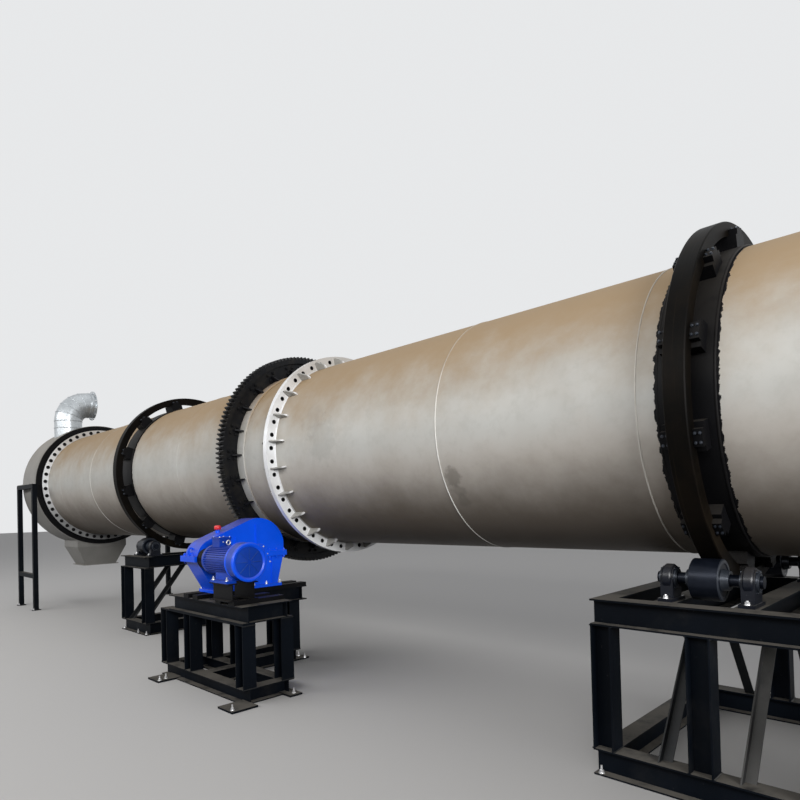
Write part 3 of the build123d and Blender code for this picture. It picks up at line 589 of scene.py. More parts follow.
def zinc_sheet(name, scale, light, dull):
    """Galvanised sheet, with the large flat crystals of its zinc."""
    f = Finish(name)
    cells = f.add("ShaderNodeTexVoronoi")
    f.feed(cells, Vector=f.place, Scale=scale)
    shade = f.add("ShaderNodeSeparateColor")
    f.put(shade.inputs[0], cells.outputs["Color"])
    colour = f.blend(shade.outputs[0], dull, light)
    colour = f.film(colour, f.noise(3, 5, 0.6), 0.5, 0.8, 0.5, (0.33, 0.32, 0.30))
    f.done(colour, f.levels(shade.outputs[1], 0.28, 0.38), 0.72)


def red_plastic():
    """The red cap of the breather, a little faded."""
    f = Finish("red_plastic")
    fine = f.noise(90, 4, 0.6)
    f.bump(fine, 0.0003, 0.4)
    f.done(f.blend(fine, (0.55, 0.012, 0.014), (0.70, 0.03, 0.03)), f.levels(fine, 0.3, 0.45))


def collar_paint():
    """The gear's collar in silver, and its brackets in black above a brushed line."""
    f = Finish("collar_paint")
    clouds = f.noise(2.4, 5, 0.6)
    colour = f.patches(clouds, 0.35, 0.7, (0.52, 0.515, 0.485), (0.43, 0.42, 0.385))
    high = f.maths("ADD", f.height_on(SHELL_RADIUS), f.times(clouds, 0.5))
    colour = f.film(colour, high, 0.35, 1.2, 0.85, (0.34, 0.235, 0.145))
    flat = f.add("ShaderNodeVectorMath", operation="MULTIPLY")
    f.put(flat.inputs[0], f.place)
    f.put(flat.inputs[1], (0, 1, 1))
    from_axis = f.distance(flat.outputs[0], (0, AXIS_Y, AXIS_Z))
    line = f.maths("ADD", from_axis, f.times(f.noise(20, 4), 0.006))
    colour = f.patches(line, SHELL_RADIUS + 0.019, SHELL_RADIUS + 0.021, colour, BRACKET_BLACK)
    f.bump(f.noise(90, 3), 0.0006, 0.4)
    f.done(colour, f.levels(clouds, 0.38, 0.55), 0.04, 0.2)


zinc_sheet("galvanised", 62.0, (0.55, 0.58, 0.60), (0.44, 0.47, 0.49))
zinc_sheet("fastener_zinc", 160.0, (0.80, 0.80, 0.80), (0.55, 0.55, 0.56))
red_plastic()
collar_paint()
print("looks in all:", len(LOOKS))

# %% [markdown]
# ## Give every CAD node its finish
# Each CAD node's material in model.glb names a finish, and most nodes simply take the look of
# that name. A few share a name with a neighbour but look different in the picture, such as the
# braces, which are greyer than the posts, so those are listed one by one.

# %% Finishes on the nodes
special = {
    "joint_flange_near": "joint_paint", "joint_flange_far": "joint_paint",
    "stand_braces_near": "brace_paint", "stand_braces_far": "brace_paint",
    "roller_near_front": "oiled_steel", "roller_near_back": "oiled_steel",
    "roller_far_front": "oiled_steel", "roller_far_back": "oiled_steel",
    "gear_seat": "collar_paint", "motor_coupling": "dark_steel", "motor": "motor_paint",
    "drive_packers": "black_paint",
}
slots = {name: node.data.materials[0].name.split(".")[0] for name, node in nodes.items()}
for name, node in nodes.items():
    node.data.materials[0] = LOOKS[special.get(name, slots[name])]
for slot in sorted(set(slots.values())):
    print(slot, [name for name in slots if slots[name] == slot])

# %% [markdown]
# ## Two Geometry Nodes trees
# A dryer is held together by hundreds of bolts and metres of weld. Placing each by hand would
# be slow, and copies would look too regular. One tree makes a hexagon bolt with its washer and
# stud at every point that it is given, faces it along the point's own direction, and turns it
# by a random angle. A second tree lays a round bead along any path and ripples it a little: it
# makes weld seams, sheet seams and wire guards. Both end in Realize Instances and Set
# Material, and the result is turned into a plain mesh, so nothing stays live.

# %% Helper for a Geometry Nodes tree
class MakerTree(Net):
    """A Geometry Nodes tree under construction, with named inputs for its sizes."""

    def __init__(self, name, **sizes):
        super().__init__(bpy.data.node_groups.new(name, "GeometryNodeTree"))
        face = self.tree.interface
        face.new_socket(name="Geometry", in_out="INPUT", socket_type="NodeSocketGeometry")
        for label, value in sizes.items():
            kind = "NodeSocketInt" if isinstance(value, int) else "NodeSocketFloat"
            face.new_socket(name=label, in_out="INPUT", socket_type=kind).default_value = value
        face.new_socket(name="Material", in_out="INPUT", socket_type="NodeSocketMaterial")
        face.new_socket(name="Geometry", in_out="OUTPUT", socket_type="NodeSocketGeometry")
        self.given = self.add("NodeGroupInput").outputs

    def cone(self, corners, low, high, depth, lift=None):
        """A cone's lower part with this many corners, moved up along Z."""
        cone = self.make("GeometryNodeMeshCone", Vertices=corners, Radius_Bottom=low,
                         Radius_Top=high, Depth=depth)
        if lift is None:
            return cone
        up = self.make("ShaderNodeCombineXYZ", Z=lift)
        return self.make("GeometryNodeTransform", Geometry=cone, Translation=up)

    def close(self, geometry):
        """Realizes the instances, sets the material and returns the tree."""
        solid = self.make("GeometryNodeRealizeInstances", Geometry=geometry)
        dressed = self.make("GeometryNodeSetMaterial", Geometry=solid, Material=self.given["Material"])
        self.put(self.add("NodeGroupOutput").inputs[0], dressed)
        print("tree:", self.tree.name, "with", len(self.tree.nodes), "nodes")
        return self.tree


print("tree helper ready")

# %% Tree that makes bolts at points
def bolt_tree():
    """Hexagon bolts: a washer, a head with a worn crown, and a stud through it."""
    t = MakerTree("bolts_at_points", Width=0.03, Height=0.012, Washer=0.02, Stud=0.001, Seed=1)
    given, height = t.given, t.given["Height"]
    half, washer_thick = t.times(given["Width"], 0.5), t.times(height, 0.2)
    top = t.maths("ADD", height, washer_thick)
    parts = [t.cone(18, given["Washer"], t.times(given["Washer"], 0.96), washer_thick),
             t.cone(6, half, half, height, washer_thick),
             t.cone(12, t.times(half, 0.84), t.times(half, 0.66), t.times(height, 0.14), top),
             t.cone(10, t.times(half, 0.52), t.times(half, 0.45), given["Stud"], top)]
    join = t.add("GeometryNodeJoinGeometry")
    for part in parts:
        t.put(join.inputs[0], part)
    facing = t.feed(t.add("GeometryNodeInputNamedAttribute", data_type="FLOAT_VECTOR"), Name="facing")
    stand = t.feed(t.add("FunctionNodeAlignRotationToVector", axis="Z"), Vector=facing)
    spin = t.feed(t.add("FunctionNodeRandomValue", data_type="FLOAT"), Max=math.tau / 6,
                  Seed=given["Seed"])
    about = t.make("FunctionNodeAxisAngleToRotation", Axis=(0, 0, 1), Angle=spin)
    turned_bolt = t.feed(t.add("FunctionNodeRotateRotation", rotation_space="LOCAL"),
                         Rotation=stand, Rotate_By=about)
    return t.close(t.make("GeometryNodeInstanceOnPoints", Points=given["Geometry"],
                          Instance=join.outputs[0], Rotation=turned_bolt))


bolts_at_points = bolt_tree()

# %% Tree that lays a bead along paths
def bead_tree():
    """A round bead along each path, with ripples across it as a welder leaves them."""
    t = MakerTree("bead_along_paths", Radius=0.004, Step=0.02, Ripple=0.001, Sides=6)
    given = t.given
    curve = t.make("GeometryNodeMeshToCurve", Mesh=given["Geometry"])
    even = t.feed(t.add("GeometryNodeResampleCurve", mode="LENGTH"), Curve=curve,
                  Length=given["Step"])
    outline = t.make("GeometryNodeCurvePrimitiveCircle", Resolution=given["Sides"],
                     Radius=given["Radius"])
    bar = t.make("GeometryNodeCurveToMesh", Curve=even, Profile_Curve=outline, Fill_Caps=True)
    noise = t.make("ShaderNodeTexNoise", Scale=45)
    ripple = t.times(t.maths("SUBTRACT", noise, 0.5), given["Ripple"])
    push = t.feed(t.add("ShaderNodeVectorMath", operation="SCALE"),
                  Vector=t.add("GeometryNodeInputNormal").outputs[0], Scale=ripple)
    uneven = t.make("GeometryNodeSetPosition", Geometry=bar, Offset=push)
    return t.close(t.make("GeometryNodeSetShadeSmooth", Geometry=uneven))


bead_along_paths = bead_tree()

# %% Run a tree once and keep its plain mesh
def keep(piece, body):
    """The finished piece rides on its body."""
    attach(piece, body)
    return piece


def run_tree(name, mesh, tree, sizes, slot, body, look):
    """A piece made by a tree from the given points or paths."""
    piece = new_object(name, mesh)
    maker = piece.modifiers.new("maker", "NODES")
    maker.node_group = tree
    wanted = dict(sizes, Material=LOOKS[look or slot])
    for item in tree.interface.items_tree:
        if item.item_type == "SOCKET" and item.in_out == "INPUT" and item.name in wanted:
            maker[item.identifier] = wanted[item.name]
    graph = bpy.context.evaluated_depsgraph_get()
    solid = bpy.data.meshes.new_from_object(piece.evaluated_get(graph), depsgraph=graph)
    piece.modifiers.remove(maker)
    piece.data = solid
    solid.name = name
    return keep(piece, body)


def bolts(name, spots, slot, width, height, body="root", look=None, washer=None, stud=0.001, seed=1):
    """Bolts at (place, direction) spots; the look is the slot's own if none is named."""
    mesh = bpy.data.meshes.new(name + "_spots")
    mesh.from_pydata([place for place, _ in spots], [], [])
    facing = mesh.attributes.new("facing", "FLOAT_VECTOR", "POINT")
    facing.data.foreach_set("vector", [v for _, direction in spots for v in direction])
    sizes = {"Width": width, "Height": height, "Washer": washer or width * 0.62, "Stud": stud,
             "Seed": seed}
    print(name, "at", len(spots), "places")
    return run_tree(name, mesh, bolts_at_points, sizes, slot, body, look)


def beads(name, paths, slot, radius, ripple=0.0, step=0.03, sides=6, body="root", look=None):
    """Round beads along lists of points; a path whose last point is its first is a closed ring."""
    mesh = bpy.data.meshes.new(name + "_paths")
    points, edges = [], []
    for path in paths:
        closed = (Vector(path[0]) - Vector(path[-1])).length < 1e-6
        run = path[:-1] if closed else path
        first = len(points)
        points += [tuple(p) for p in run]
        edges += [(first + i, first + i + 1) for i in range(len(run) - 1)]
        if closed:
            edges.append((first + len(run) - 1, first))
    mesh.from_pydata(points, edges, [])
    sizes = {"Radius": radius, "Step": step, "Ripple": ripple, "Sides": sides}
    print(name, "along", len(paths), "paths")
    return run_tree(name, mesh, bead_along_paths, sizes, slot, body, look)


print("bolts and beads can be made now")

# %% [markdown]
# ## Places round an axis
# Nearly everything on this machine is round about some line along X: the drum, the rollers,
# the shafts. A few helpers give the places that we need: single points on a circle, whole
# circles as paths, and turned shapes from a short profile of (x, radius) points.

# %% Points, circles and turned shapes
SHARP_EDGE = math.radians(35)


def on_round(line, x, radius, angle):
    """A point on a circle about a line along X; the angle in degrees starts at the top."""
    a = math.radians(angle)
    return Vector((x, line[0] + radius * math.sin(a), line[1] + radius * math.cos(a)))


def outward(angle):
    """The direction away from a line along X at that angle."""
    a = math.radians(angle)
    return (0, math.sin(a), math.cos(a))


def circle(line, x, radius, steps=72):
    """A closed circle as a path."""
    return [on_round(line, x, radius, 360 * (i % steps) / steps) for i in range(steps + 1)]


def drum_rings(places, up):
    """Circles round the shell at places along X, some way above its plate."""
    return [circle(DRUM_LINE, x, SHELL_RADIUS + up, 120) for x in places]


def face_bolts(line, x, radius, count, phase=0.0, side=1):
    """Spots on a circle whose bolts look along X."""
    return [(on_round(line, x, radius, phase + 360 * i / count), (side, 0, 0)) for i in range(count)]


def standing(places):
    """Spots whose bolts look up."""
    return [(Vector(place), (0, 0, 1)) for place in places]


def placed(name, shape, slot, body="root", look=None):
    """A finished shape as a piece, smooth where it is round and sharp at its edges."""
    bmesh.ops.recalc_face_normals(shape, faces=shape.faces)
    mesh = bpy.data.meshes.new(name)
    shape.to_mesh(mesh)
    shape.free()
    mesh.materials.append(LOOKS[look or slot])
    mesh.shade_smooth()
    mesh.set_sharp_from_angle(angle=SHARP_EDGE)
    print(name, "with", len(mesh.polygons), "faces")
    return keep(new_object(name, mesh), body)


def turned(name, profiles, slot, body="root", look=None, steps=56):
    """A piece turned on a lathe: each (line, profile) is closed and goes round once."""
    shape = bmesh.new()
    for line, profile in profiles:
        rows = [[shape.verts.new(on_round(line, x, r, 360 * i / steps)) for x, r in profile]
                for i in range(steps)]
        for i in range(steps):
            here, there = rows[i], rows[(i + 1) % steps]
            for j in range(len(profile)):
                k = (j + 1) % len(profile)
                shape.faces.new((here[j], here[k], there[k], there[j]))
    return placed(name, shape, slot, body, look)


print("a point over the axis:", [round(v, 3) for v in on_round(DRUM_LINE, 0, SHELL_RADIUS, 0)])

# %% [markdown]
# ## Weld seams of the drum
# The shell is rolled from plates about 1.4 m wide, welded edge to edge. The picture shows
# these seams as thin pale lines round the drum. A second set of welds joins the ring seats,
# the gear's collar and the joint's flanges to the shell.

# %% Seams round and along the shell
HIGHLIGHTED_SEAMS = (1.985, 3.405, -4.807)
DULL_SEAMS = (4.807, 6.2, -1.985, -3.15, -6.2)
PLATE_SPANS = ((0.17, 1.985), (1.985, 3.405), (4.807, 6.2), (-1.985, -0.73), (-4.807, -3.56),
               (-6.2, -4.807))
SEAM, RIPPLE, SPAN_STEPS, SEAM_ANGLES = 0.0055, 0.003, 20, (62, 96)
# Painted highlight: the listed seams take the paler seam paint, the others the shell's own paint.
beads("shell_seams", drum_rings(HIGHLIGHTED_SEAMS, -0.001), "drum_paint", SEAM, RIPPLE, body="drum",
      look="seam_paint")
beads("dull_seams", drum_rings(DULL_SEAMS, -0.002), "drum_paint", SEAM, RIPPLE, body="drum")
along = [[on_round(DRUM_LINE, start + (stop - start) * i / SPAN_STEPS, SHELL_RADIUS - 0.001,
                   SEAM_ANGLES[count % 2]) for i in range(SPAN_STEPS + 1)]
         for count, (start, stop) in enumerate(PLATE_SPANS)]
beads("plate_seams", along, "drum_paint", SEAM, RIPPLE, body="drum")

# %% Welds at the collars
COLLAR_WELD, COLLAR_RIPPLE, JOINT_HALF = 0.009, 0.005, 0.026
seat_edges = [x + s * SEAT_HALF for x in (NEAR_RING, FAR_RING) for s in (-1, 1)]
gear_edges = [corner[0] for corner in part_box("gear_seat")]
beads("seat_welds", drum_rings(seat_edges, 0.006), "dark_steel", COLLAR_WELD, COLLAR_RIPPLE,
      body="drum")
beads("gear_welds", drum_rings(gear_edges, 0.006), "drum_paint", COLLAR_WELD, COLLAR_RIPPLE,
      body="drum")
beads("flange_welds", drum_rings((-JOINT_HALF, JOINT_HALF), 0.002), "white_paint", 0.007, 0.004,
      body="drum")

# %% [markdown]
# ## Bolts that turn with the drum
# Each keeper beside a riding ring is held by four small bolts. The girth gear's web is bolted
# to its brackets, with nuts on the far side, and the end flanges carry a full circle of dark
# bolts. The bolt circle of the middle joint stays empty, as in the picture: the two halves were
# welded in line, and the holes only served to pull them together.

# %% Keeper bolts on the ring seats
KEEPERS, KEEPER_TOP, KEEPER_REACH = 12, 1.0189, 0.078
KEEPER_TURN, KEEPER_BACK = 1.35, 0.012
keeper_angles = [360 / KEEPERS * (i + 0.5) for i in range(KEEPERS)]
spots = [(on_round(DRUM_LINE, ring + along_x + back, KEEPER_TOP, angle + step), outward(angle))
         for ring in (NEAR_RING, FAR_RING) for angle in keeper_angles
         for along_x in (-KEEPER_REACH, KEEPER_REACH) for step in (-KEEPER_TURN, KEEPER_TURN)
         for back in (-KEEPER_BACK, KEEPER_BACK)]
bolts("keeper_bolts", spots, "dark_steel", 0.014, 0.007, "drum", "roller_steel", seed=3)

# %% Black sleeves in the empty holes of the joint, as painted shade
HOLES, HOLE_CIRCLE, HOLE_PHASE = 48, 0.945, 271.0
sleeve = [(-0.0258, 0.0118), (-0.0258, 0.0205), (-0.0251, 0.0205), (-0.0251, 0.0128),
          (0.0251, 0.0128), (0.0251, 0.0205), (0.0258, 0.0205), (0.0258, 0.0118),
          (0.001, 0.0110), (0.001, 0.0003), (-0.001, 0.0003), (-0.001, 0.0110)]
holes = [on_round(DRUM_LINE, 0, HOLE_CIRCLE, HOLE_PHASE + 360 / HOLES * i) for i in range(HOLES)]
# Painted shade: each hole gets a black sleeve, closed in the middle, so that it reads darker than its
# bore.
turned("hole_packing", [((hole.y, hole.z), sleeve) for hole in holes], "dark_steel", "drum",
       "black_paint", 14)

# %% Gear bolts and end flange bolts
BRACKETS, WEB_HALF, WEB_TURN, WEB_CIRCLES = 24, 0.015, 2.1, (0.948, 1.005)
END_CIRCLE, END_BOLTS, END_TURN = 0.946, 48, 3.0
places = [(radius, 360 / BRACKETS * i + step) for i in range(BRACKETS)
          for step in (-WEB_TURN, WEB_TURN) for radius in WEB_CIRCLES]
spots = [(on_round(DRUM_LINE, GEAR + side * WEB_HALF, radius, angle), (side, 0, 0))
         for side in (1, -1) for radius, angle in places]
bolts("gear_bolts", spots, "greased_steel", 0.030, 0.014, "drum", stud=0.008, seed=5)
far_face, near_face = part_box("end_flange_far")[1][0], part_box("end_flange_near")[0][0]
spots = (face_bolts(DRUM_LINE, far_face, END_CIRCLE, END_BOLTS, END_TURN, 1)
         + face_bolts(DRUM_LINE, near_face, END_CIRCLE, END_BOLTS, END_TURN, -1))
bolts("end_flange_bolts", spots, "dark_steel", 0.046, 0.022, "drum", washer=0.030, stud=0.02, seed=7)

# %% [markdown]
# ## Rollers and their bearings
# A support roller is a forged wheel on a shaft. Its faces have a raised hub, a groove and a
# bright rim where it was turned. Each end of the shaft sits in a pillow block, which has a
# ringed seal on both faces, six cap bolts a side and two bolts down into the beam.

# %% Roller hubs and rims
WHEEL_HALF = 0.070
ROLLER_HUB = [(0, 0.030), (0.030, 0.030), (0.036, 0.036), (0.036, 0.050), (0.006, 0.058),
              (-0.004, 0.062), (-0.004, 0.030)]
ROLLER_RIM = [(-0.002, 0.086), (0.004, 0.090), (0.004, 0.106), (0.0005, 0.1105), (-0.002, 0.1105)]


def profiles_at(line, x, side, *rows):
    """Closed profiles that start at x on a line and go out along X on one side."""
    return [(line, [(x + side * out, radius) for out, radius in row]) for row in rows]


def both_faces(line, x, half, *rows):
    """The same profiles on both faces of something half this thick, with its middle at x."""
    return [profile for side in (-1, 1) for profile in profiles_at(line, x + side * half, side, *rows)]


for node in ("roller_near_front", "roller_near_back", "roller_far_front", "roller_far_back"):
    hubs = both_faces(line_of(node), middle(node).x, WHEEL_HALF, ROLLER_HUB, ROLLER_RIM)
    turned(node + "_hubs", hubs, "worn_steel", node, "roller_steel")

# %% Pillow block seals, cap bolts and foot bolts
BEARING_STEP, BLOCK_HALF, FOOT_STEP, BEARING_FOOT = 0.200, 0.033, 0.079, 0.018
CAP_CIRCLE, CAP_BOLTS, CAP_TURN = 0.060, 6, 30
HOOP = [(-0.024, 0.060), (-0.024, 0.070), (-0.017, 0.076), (0.017, 0.076), (0.024, 0.070),
        (0.024, 0.060)]
SEAL = [(-0.002, 0.0345), (0.010, 0.0345), (0.013, 0.038), (0.013, 0.042), (0.008, 0.044),
        (0.008, 0.048), (0.011, 0.050), (0.009, 0.0535), (-0.002, 0.055)]
for end, ring in (("near", NEAR_RING), ("far", FAR_RING)):
    foot_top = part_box(f"roller_bearings_{end}")[0][2] + BEARING_FOOT
    seals, hoops, caps, feet = [], [], [], []
    for line in (line_of(f"roller_{end}_front"), line_of(f"roller_{end}_back")):
        for x in (ring - BEARING_STEP, ring + BEARING_STEP):
            hoops += profiles_at(line, x, 1, HOOP)
            seals += both_faces(line, x, BLOCK_HALF, SEAL)
            for face in (-1, 1):
                caps += face_bolts(line, x + face * BLOCK_HALF, CAP_CIRCLE, CAP_BOLTS, CAP_TURN, face)
            feet += standing([(x, line[0] + lean * FOOT_STEP, foot_top) for lean in (-1, 1)])
    turned(f"bearing_seals_{end}", seals, "housing_paint", look="roller_steel", steps=36)
    turned(f"bearing_hoops_{end}", hoops, "housing_paint", steps=48)
    bolts(f"bearing_cap_bolts_{end}", caps, "housing_paint", 0.009, 0.005, look="roller_steel",
          washer=0.0055, seed=9)
    bolts(f"bearing_foot_bolts_{end}", feet, "housing_paint", 0.026, 0.012, look="fastener_zinc",
          washer=0.016, stud=0.007, seed=11)

# %% [markdown]
# ## The reducer
# The reducer's case is cast in two halves that bolt together on the line of its shafts. Close
# bolts run along both long rims of that joint. The feet are bolted to the rails, lugs with an
# eye serve to lift the upper half, and a red breather stands on its slope.

# %% Joint bolts and foot bolts of the reducer
(case_back, case_left, case_foot), (case_front, case_right, _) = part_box("reducer_lower")
PINION_LINE, INPUT_LINE = line_of("pinion"), line_of("motor_coupling")
RIM_THICK, RIM_EDGE, FOOT_PLATE = 0.026, 0.011, 0.028
RIM_PLACES = (-1.262, -1.215, -1.100, -1.010, -0.905, -0.800, -0.520, -0.440, -0.352)
FOOT_PLACES = (-1.105, -0.960, -0.700, -0.560, -0.405)
rim_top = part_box("reducer_upper")[0][2] + RIM_THICK
spots = []
for x in (case_front - 0.010, case_back + 0.010):
    for y in RIM_PLACES:
        spots += [(Vector((x, y, rim_top)), (0, 0, 1)),
                  (Vector((x, y, rim_top - 2 * RIM_THICK)), (0, 0, -1))]
spots += standing([(x, y, rim_top) for x in (case_back + 0.06, case_back + 0.135, case_front - 0.06)
                   for y in (case_left + RIM_EDGE, case_right - RIM_EDGE)])
bolts("reducer_joint_bolts", spots, "blue_paint", 0.022, 0.012, washer=0.0125, stud=0.008, seed=13)
feet = standing([(x, y, case_foot + FOOT_PLATE) for x in (case_back + RIM_EDGE, case_front - RIM_EDGE)
                 for y in FOOT_PLACES])
bolts("reducer_foot_bolts", feet, "blue_paint", 0.024, 0.013, look="fastener_zinc", washer=0.0125,
      stud=0.014, seed=15)

# %% Shaft covers and plugs
COVER = 0.016
COLLAR = [(0, 0.062), (-0.020, 0.062), (-0.026, 0.070), (-0.026, 0.118), (-0.022, 0.124), (0, 0.124)]
NOSE = [(0, 0.026), (0.022, 0.026), (0.026, 0.030), (0.026, 0.058), (0.022, 0.064), (0, 0.064)]
MID_LINE = (PINION_LINE[0] - 0.335, PINION_LINE[1])
back, front = case_back + 0.022, case_front - 0.022


def cover(line, x, side, radius, thick=COVER):
    """A round shaft cover with a raised boss, as a closed profile."""
    row = [(0, 0.004), (thick + 0.006, 0.004), (thick + 0.006, radius * 0.45), (thick, radius * 0.55),
           (thick, radius * 0.95), (thick - 0.004, radius), (0, radius)]
    return profiles_at(line, x, side, row)


covers = (cover(MID_LINE, back, -1, 0.075) + cover(MID_LINE, front, 1, 0.070)
          + cover(PINION_LINE, front, 1, 0.100) + cover(INPUT_LINE, back, -1, 0.062)
          + profiles_at(PINION_LINE, back, 1, COLLAR) + profiles_at(INPUT_LINE, front, 1, NOSE))
turned("shaft_covers", covers, "blue_paint")
spots = []
for line, x, radius, count, phase, side in (
        (PINION_LINE, back - 0.026, 0.104, 8, 22.5, -1), (PINION_LINE, front + COVER, 0.082, 6, 30, 1),
        (MID_LINE, back - COVER, 0.060, 6, 30, -1), (MID_LINE, front + COVER, 0.056, 6, 30, 1),
        (INPUT_LINE, front + 0.026, 0.047, 6, 0, 1), (INPUT_LINE, back - COVER, 0.050, 6, 0, -1)):
    spots += face_bolts(line, x, radius, count, phase, side)
for x, y, z, side in ((front, -0.505, 1.058, 1), (front, -0.80, 0.905, 1), (back, -0.505, 0.905, -1)):
    spots.append((Vector((x, y, z)), (side, 0, 0)))
bolts("cover_bolts", spots, "blue_paint", 0.013, 0.006, look="fastener_zinc", seed=17)

# %% Lifting lugs and the breather
LUG_HALF, LUG_RISE, LUG_THICK, LUG_IN, EYE = 0.030, 0.046, 0.022, 0.036, 0.017
BREATHER_Y, SLOPE_Z = -0.998, 1.352


def lug(x, y, z, steps=14):
    """A rounded lug in a plane square to X, with an eye through it."""
    top = z + LUG_RISE
    arch = [math.pi * i / steps for i in range(steps + 1)]
    outer = [(y + LUG_HALF, z - 0.01)]
    outer += [(y + LUG_HALF * math.cos(a), top + LUG_HALF * math.sin(a)) for a in arch]
    outer += [(y - LUG_HALF, z - 0.01)]
    count = len(outer)
    turns = [-math.pi / 2 + math.tau * (i + 0.5) / count for i in range(count)]
    hole = [(y + EYE * math.cos(a), top + EYE * math.sin(a)) for a in turns]
    shape = bmesh.new()
    out_back, in_back, out_front, in_front = (
        [shape.verts.new((plane, *point)) for point in points]
        for plane in (x - LUG_THICK / 2, x + LUG_THICK / 2) for points in (outer, hole))
    pairs = ((out_back, in_back), (out_front, in_front), (out_back, out_front), (in_back, in_front))
    for i in range(count):
        j = (i + 1) % count
        for a, b in pairs:
            shape.faces.new((a[i], a[j], b[j], b[i]))
    return shape


def upright(name, profile, place, slot, look=None, steps=28):
    """A turned piece that stands up on a point."""
    shape = bmesh.new()
    rings = [[shape.verts.new((place[0] + r * math.cos(math.tau * i / steps),
                               place[1] + r * math.sin(math.tau * i / steps), place[2] + h))
              for i in range(steps)] for h, r in profile]
    for low, high in zip(rings, rings[1:]):
        for i in range(steps):
            j = (i + 1) % steps
            shape.faces.new((low[i], low[j], high[j], high[i]))
    shape.faces.new(rings[0])
    shape.faces.new(rings[-1])
    return placed(name, shape, slot, look=look)


case_middle = (case_back + case_front) / 2
for number, y in ((1, case_left + LUG_IN), (2, case_right - LUG_IN)):
    placed(f"lifting_lug_{number}", lug(case_middle, y, rim_top), "blue_paint")
stem = [(0, 0.002), (0.001, 0.022), (0.030, 0.022), (0.036, 0.014), (0.042, 0.014)]
cap = [(0.040, 0.012), (0.040, 0.028), (0.046, 0.032), (0.066, 0.032), (0.076, 0.027), (0.080, 0.012)]
breather_place = (case_middle, BREATHER_Y, SLOPE_Z)
upright("breather_stem", stem, breather_place, "blue_paint")
upright("breather_cap", cap, breather_place, "dark_steel", "red_plastic")

# %% [markdown]
# ## The motor and its coupling
# The motor is an ordinary finned one on feet. Its fan cowl ends in a wire guard, drawn here as
# circles and spokes that the bead tree turns to wire, with a rolled rim round it. The coupling
# has two halves whose jaws reach into each other.

# %% Fan guard and cowl rim
(motor_left, _, _), (tail, _, box_top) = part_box("motor")
MOTOR_LINE = INPUT_LINE
WIRES, WIRE_START, WIRE_STEP, SPOKES, SPOKE_RADII = 10, 0.020, 0.0105, 8, (0.020, 0.07, 0.120)
wires = [circle(MOTOR_LINE, tail - 0.001, WIRE_START + WIRE_STEP * i, 40) for i in range(WIRES)]
wires += [[on_round(MOTOR_LINE, tail + 0.001, r, 360 / SPOKES * i) for r in SPOKE_RADII]
          for i in range(SPOKES)]
beads("fan_guard", wires, "blue_paint", 0.0036, step=0.02, sides=5, look="guard_paint")
COWL_RIM = [(-0.012, 0.1575), (-0.012, 0.161), (0.003, 0.161), (0.008, 0.156), (0.010, 0.148),
            (0.008, 0.139), (0.002, 0.128), (-0.002, 0.124), (-0.002, 0.150)]
BAND_BACK = 0.117
COWL_BAND = [(0.000, 0.1565), (0.000, 0.1615), (0.014, 0.1615), (0.018, 0.1565)]
GUARD_BACK = [(0.0, 0.002), (0.0, 0.126), (0.0015, 0.126), (0.0015, 0.002)]
for name, x, row, look in (("cowl_rim", tail, COWL_RIM, None),
                           ("cowl_band", tail - BAND_BACK, COWL_BAND, None),
                           ("guard_back", tail, GUARD_BACK, "motor_paint")):
    turned(name, profiles_at(MOTOR_LINE, x, 1, row), "blue_paint", look=look)

# %% Terminal box lid, eyebolt and motor bolts
BOX_HALF, LID_OVER, SCREW_IN = 0.055, 0.005, 0.008
LID_DOWN, LID_UP = 0.012, 0.006
SHAFT_OUT, BOX_START, BOX_STOP, GLAND_DOWN = 0.028, 0.060, 0.180, 0.035
EYE_RISE, EYE_RADIUS = 0.152, 0.018
MOTOR_FOOT_OUT, MOTOR_FOOT_THICK, MOTOR_FEET = 0.122, 0.022, (0.190, 0.410)
BELL_CIRCLE, BELL_BOLTS, BELL_TURN = 0.118, 4, 45
body_left = motor_left + SHAFT_OUT
box_left, box_right = body_left + BOX_START, body_left + BOX_STOP
box_front, box_back = MOTOR_LINE[0] - BOX_HALF, MOTOR_LINE[0] + BOX_HALF
low = (box_left - LID_OVER, box_front - LID_OVER, box_top - LID_DOWN)
high = (box_right + LID_OVER, box_back + LID_OVER, box_top + LID_UP)
lid = bmesh.new()
for v in bmesh.ops.create_cube(lid, size=1)["verts"]:
    v.co = Vector([a if c < 0 else b for c, a, b in zip(v.co, low, high)])
bmesh.ops.bevel(lid, geom=lid.edges[:], offset=0.003, segments=2, affect="EDGES")
placed("terminal_box_lid", lid, "blue_paint", look="motor_paint")
spots = standing([(x, y, box_top + LID_UP) for x in (box_left + SCREW_IN, box_right - SCREW_IN)
                  for y in (box_front + SCREW_IN, box_back - SCREW_IN)])
spots.append((Vector((box_right + 0.001, MOTOR_LINE[0] - 0.02, box_top - GLAND_DOWN)), (1, 0, 0)))
bolts("box_screws", spots, "blue_paint", 0.010, 0.004, look="fastener_zinc", seed=19)
eye = circle((MOTOR_LINE[0], MOTOR_LINE[1] + EYE_RISE), box_right + 0.055, EYE_RADIUS, 20)
beads("motor_eyebolt", [eye], "blue_paint", 0.0055, step=0.008, sides=8, look="fastener_zinc")
foot_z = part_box("drive_packers")[1][2] + MOTOR_FOOT_THICK
feet = standing([(body_left + x, MOTOR_LINE[0] + s * MOTOR_FOOT_OUT, foot_z) for s in (-1, 1)
                 for x in MOTOR_FEET])
bolts("motor_foot_bolts", feet, "blue_paint", 0.022, 0.013, look="fastener_zinc", washer=0.016,
      stud=0.014, seed=21)
bell = face_bolts(MOTOR_LINE, body_left, BELL_CIRCLE, BELL_BOLTS, BELL_TURN, -1)
bolts("motor_bell_bolts", bell, "blue_paint", 0.013, 0.006, seed=23)

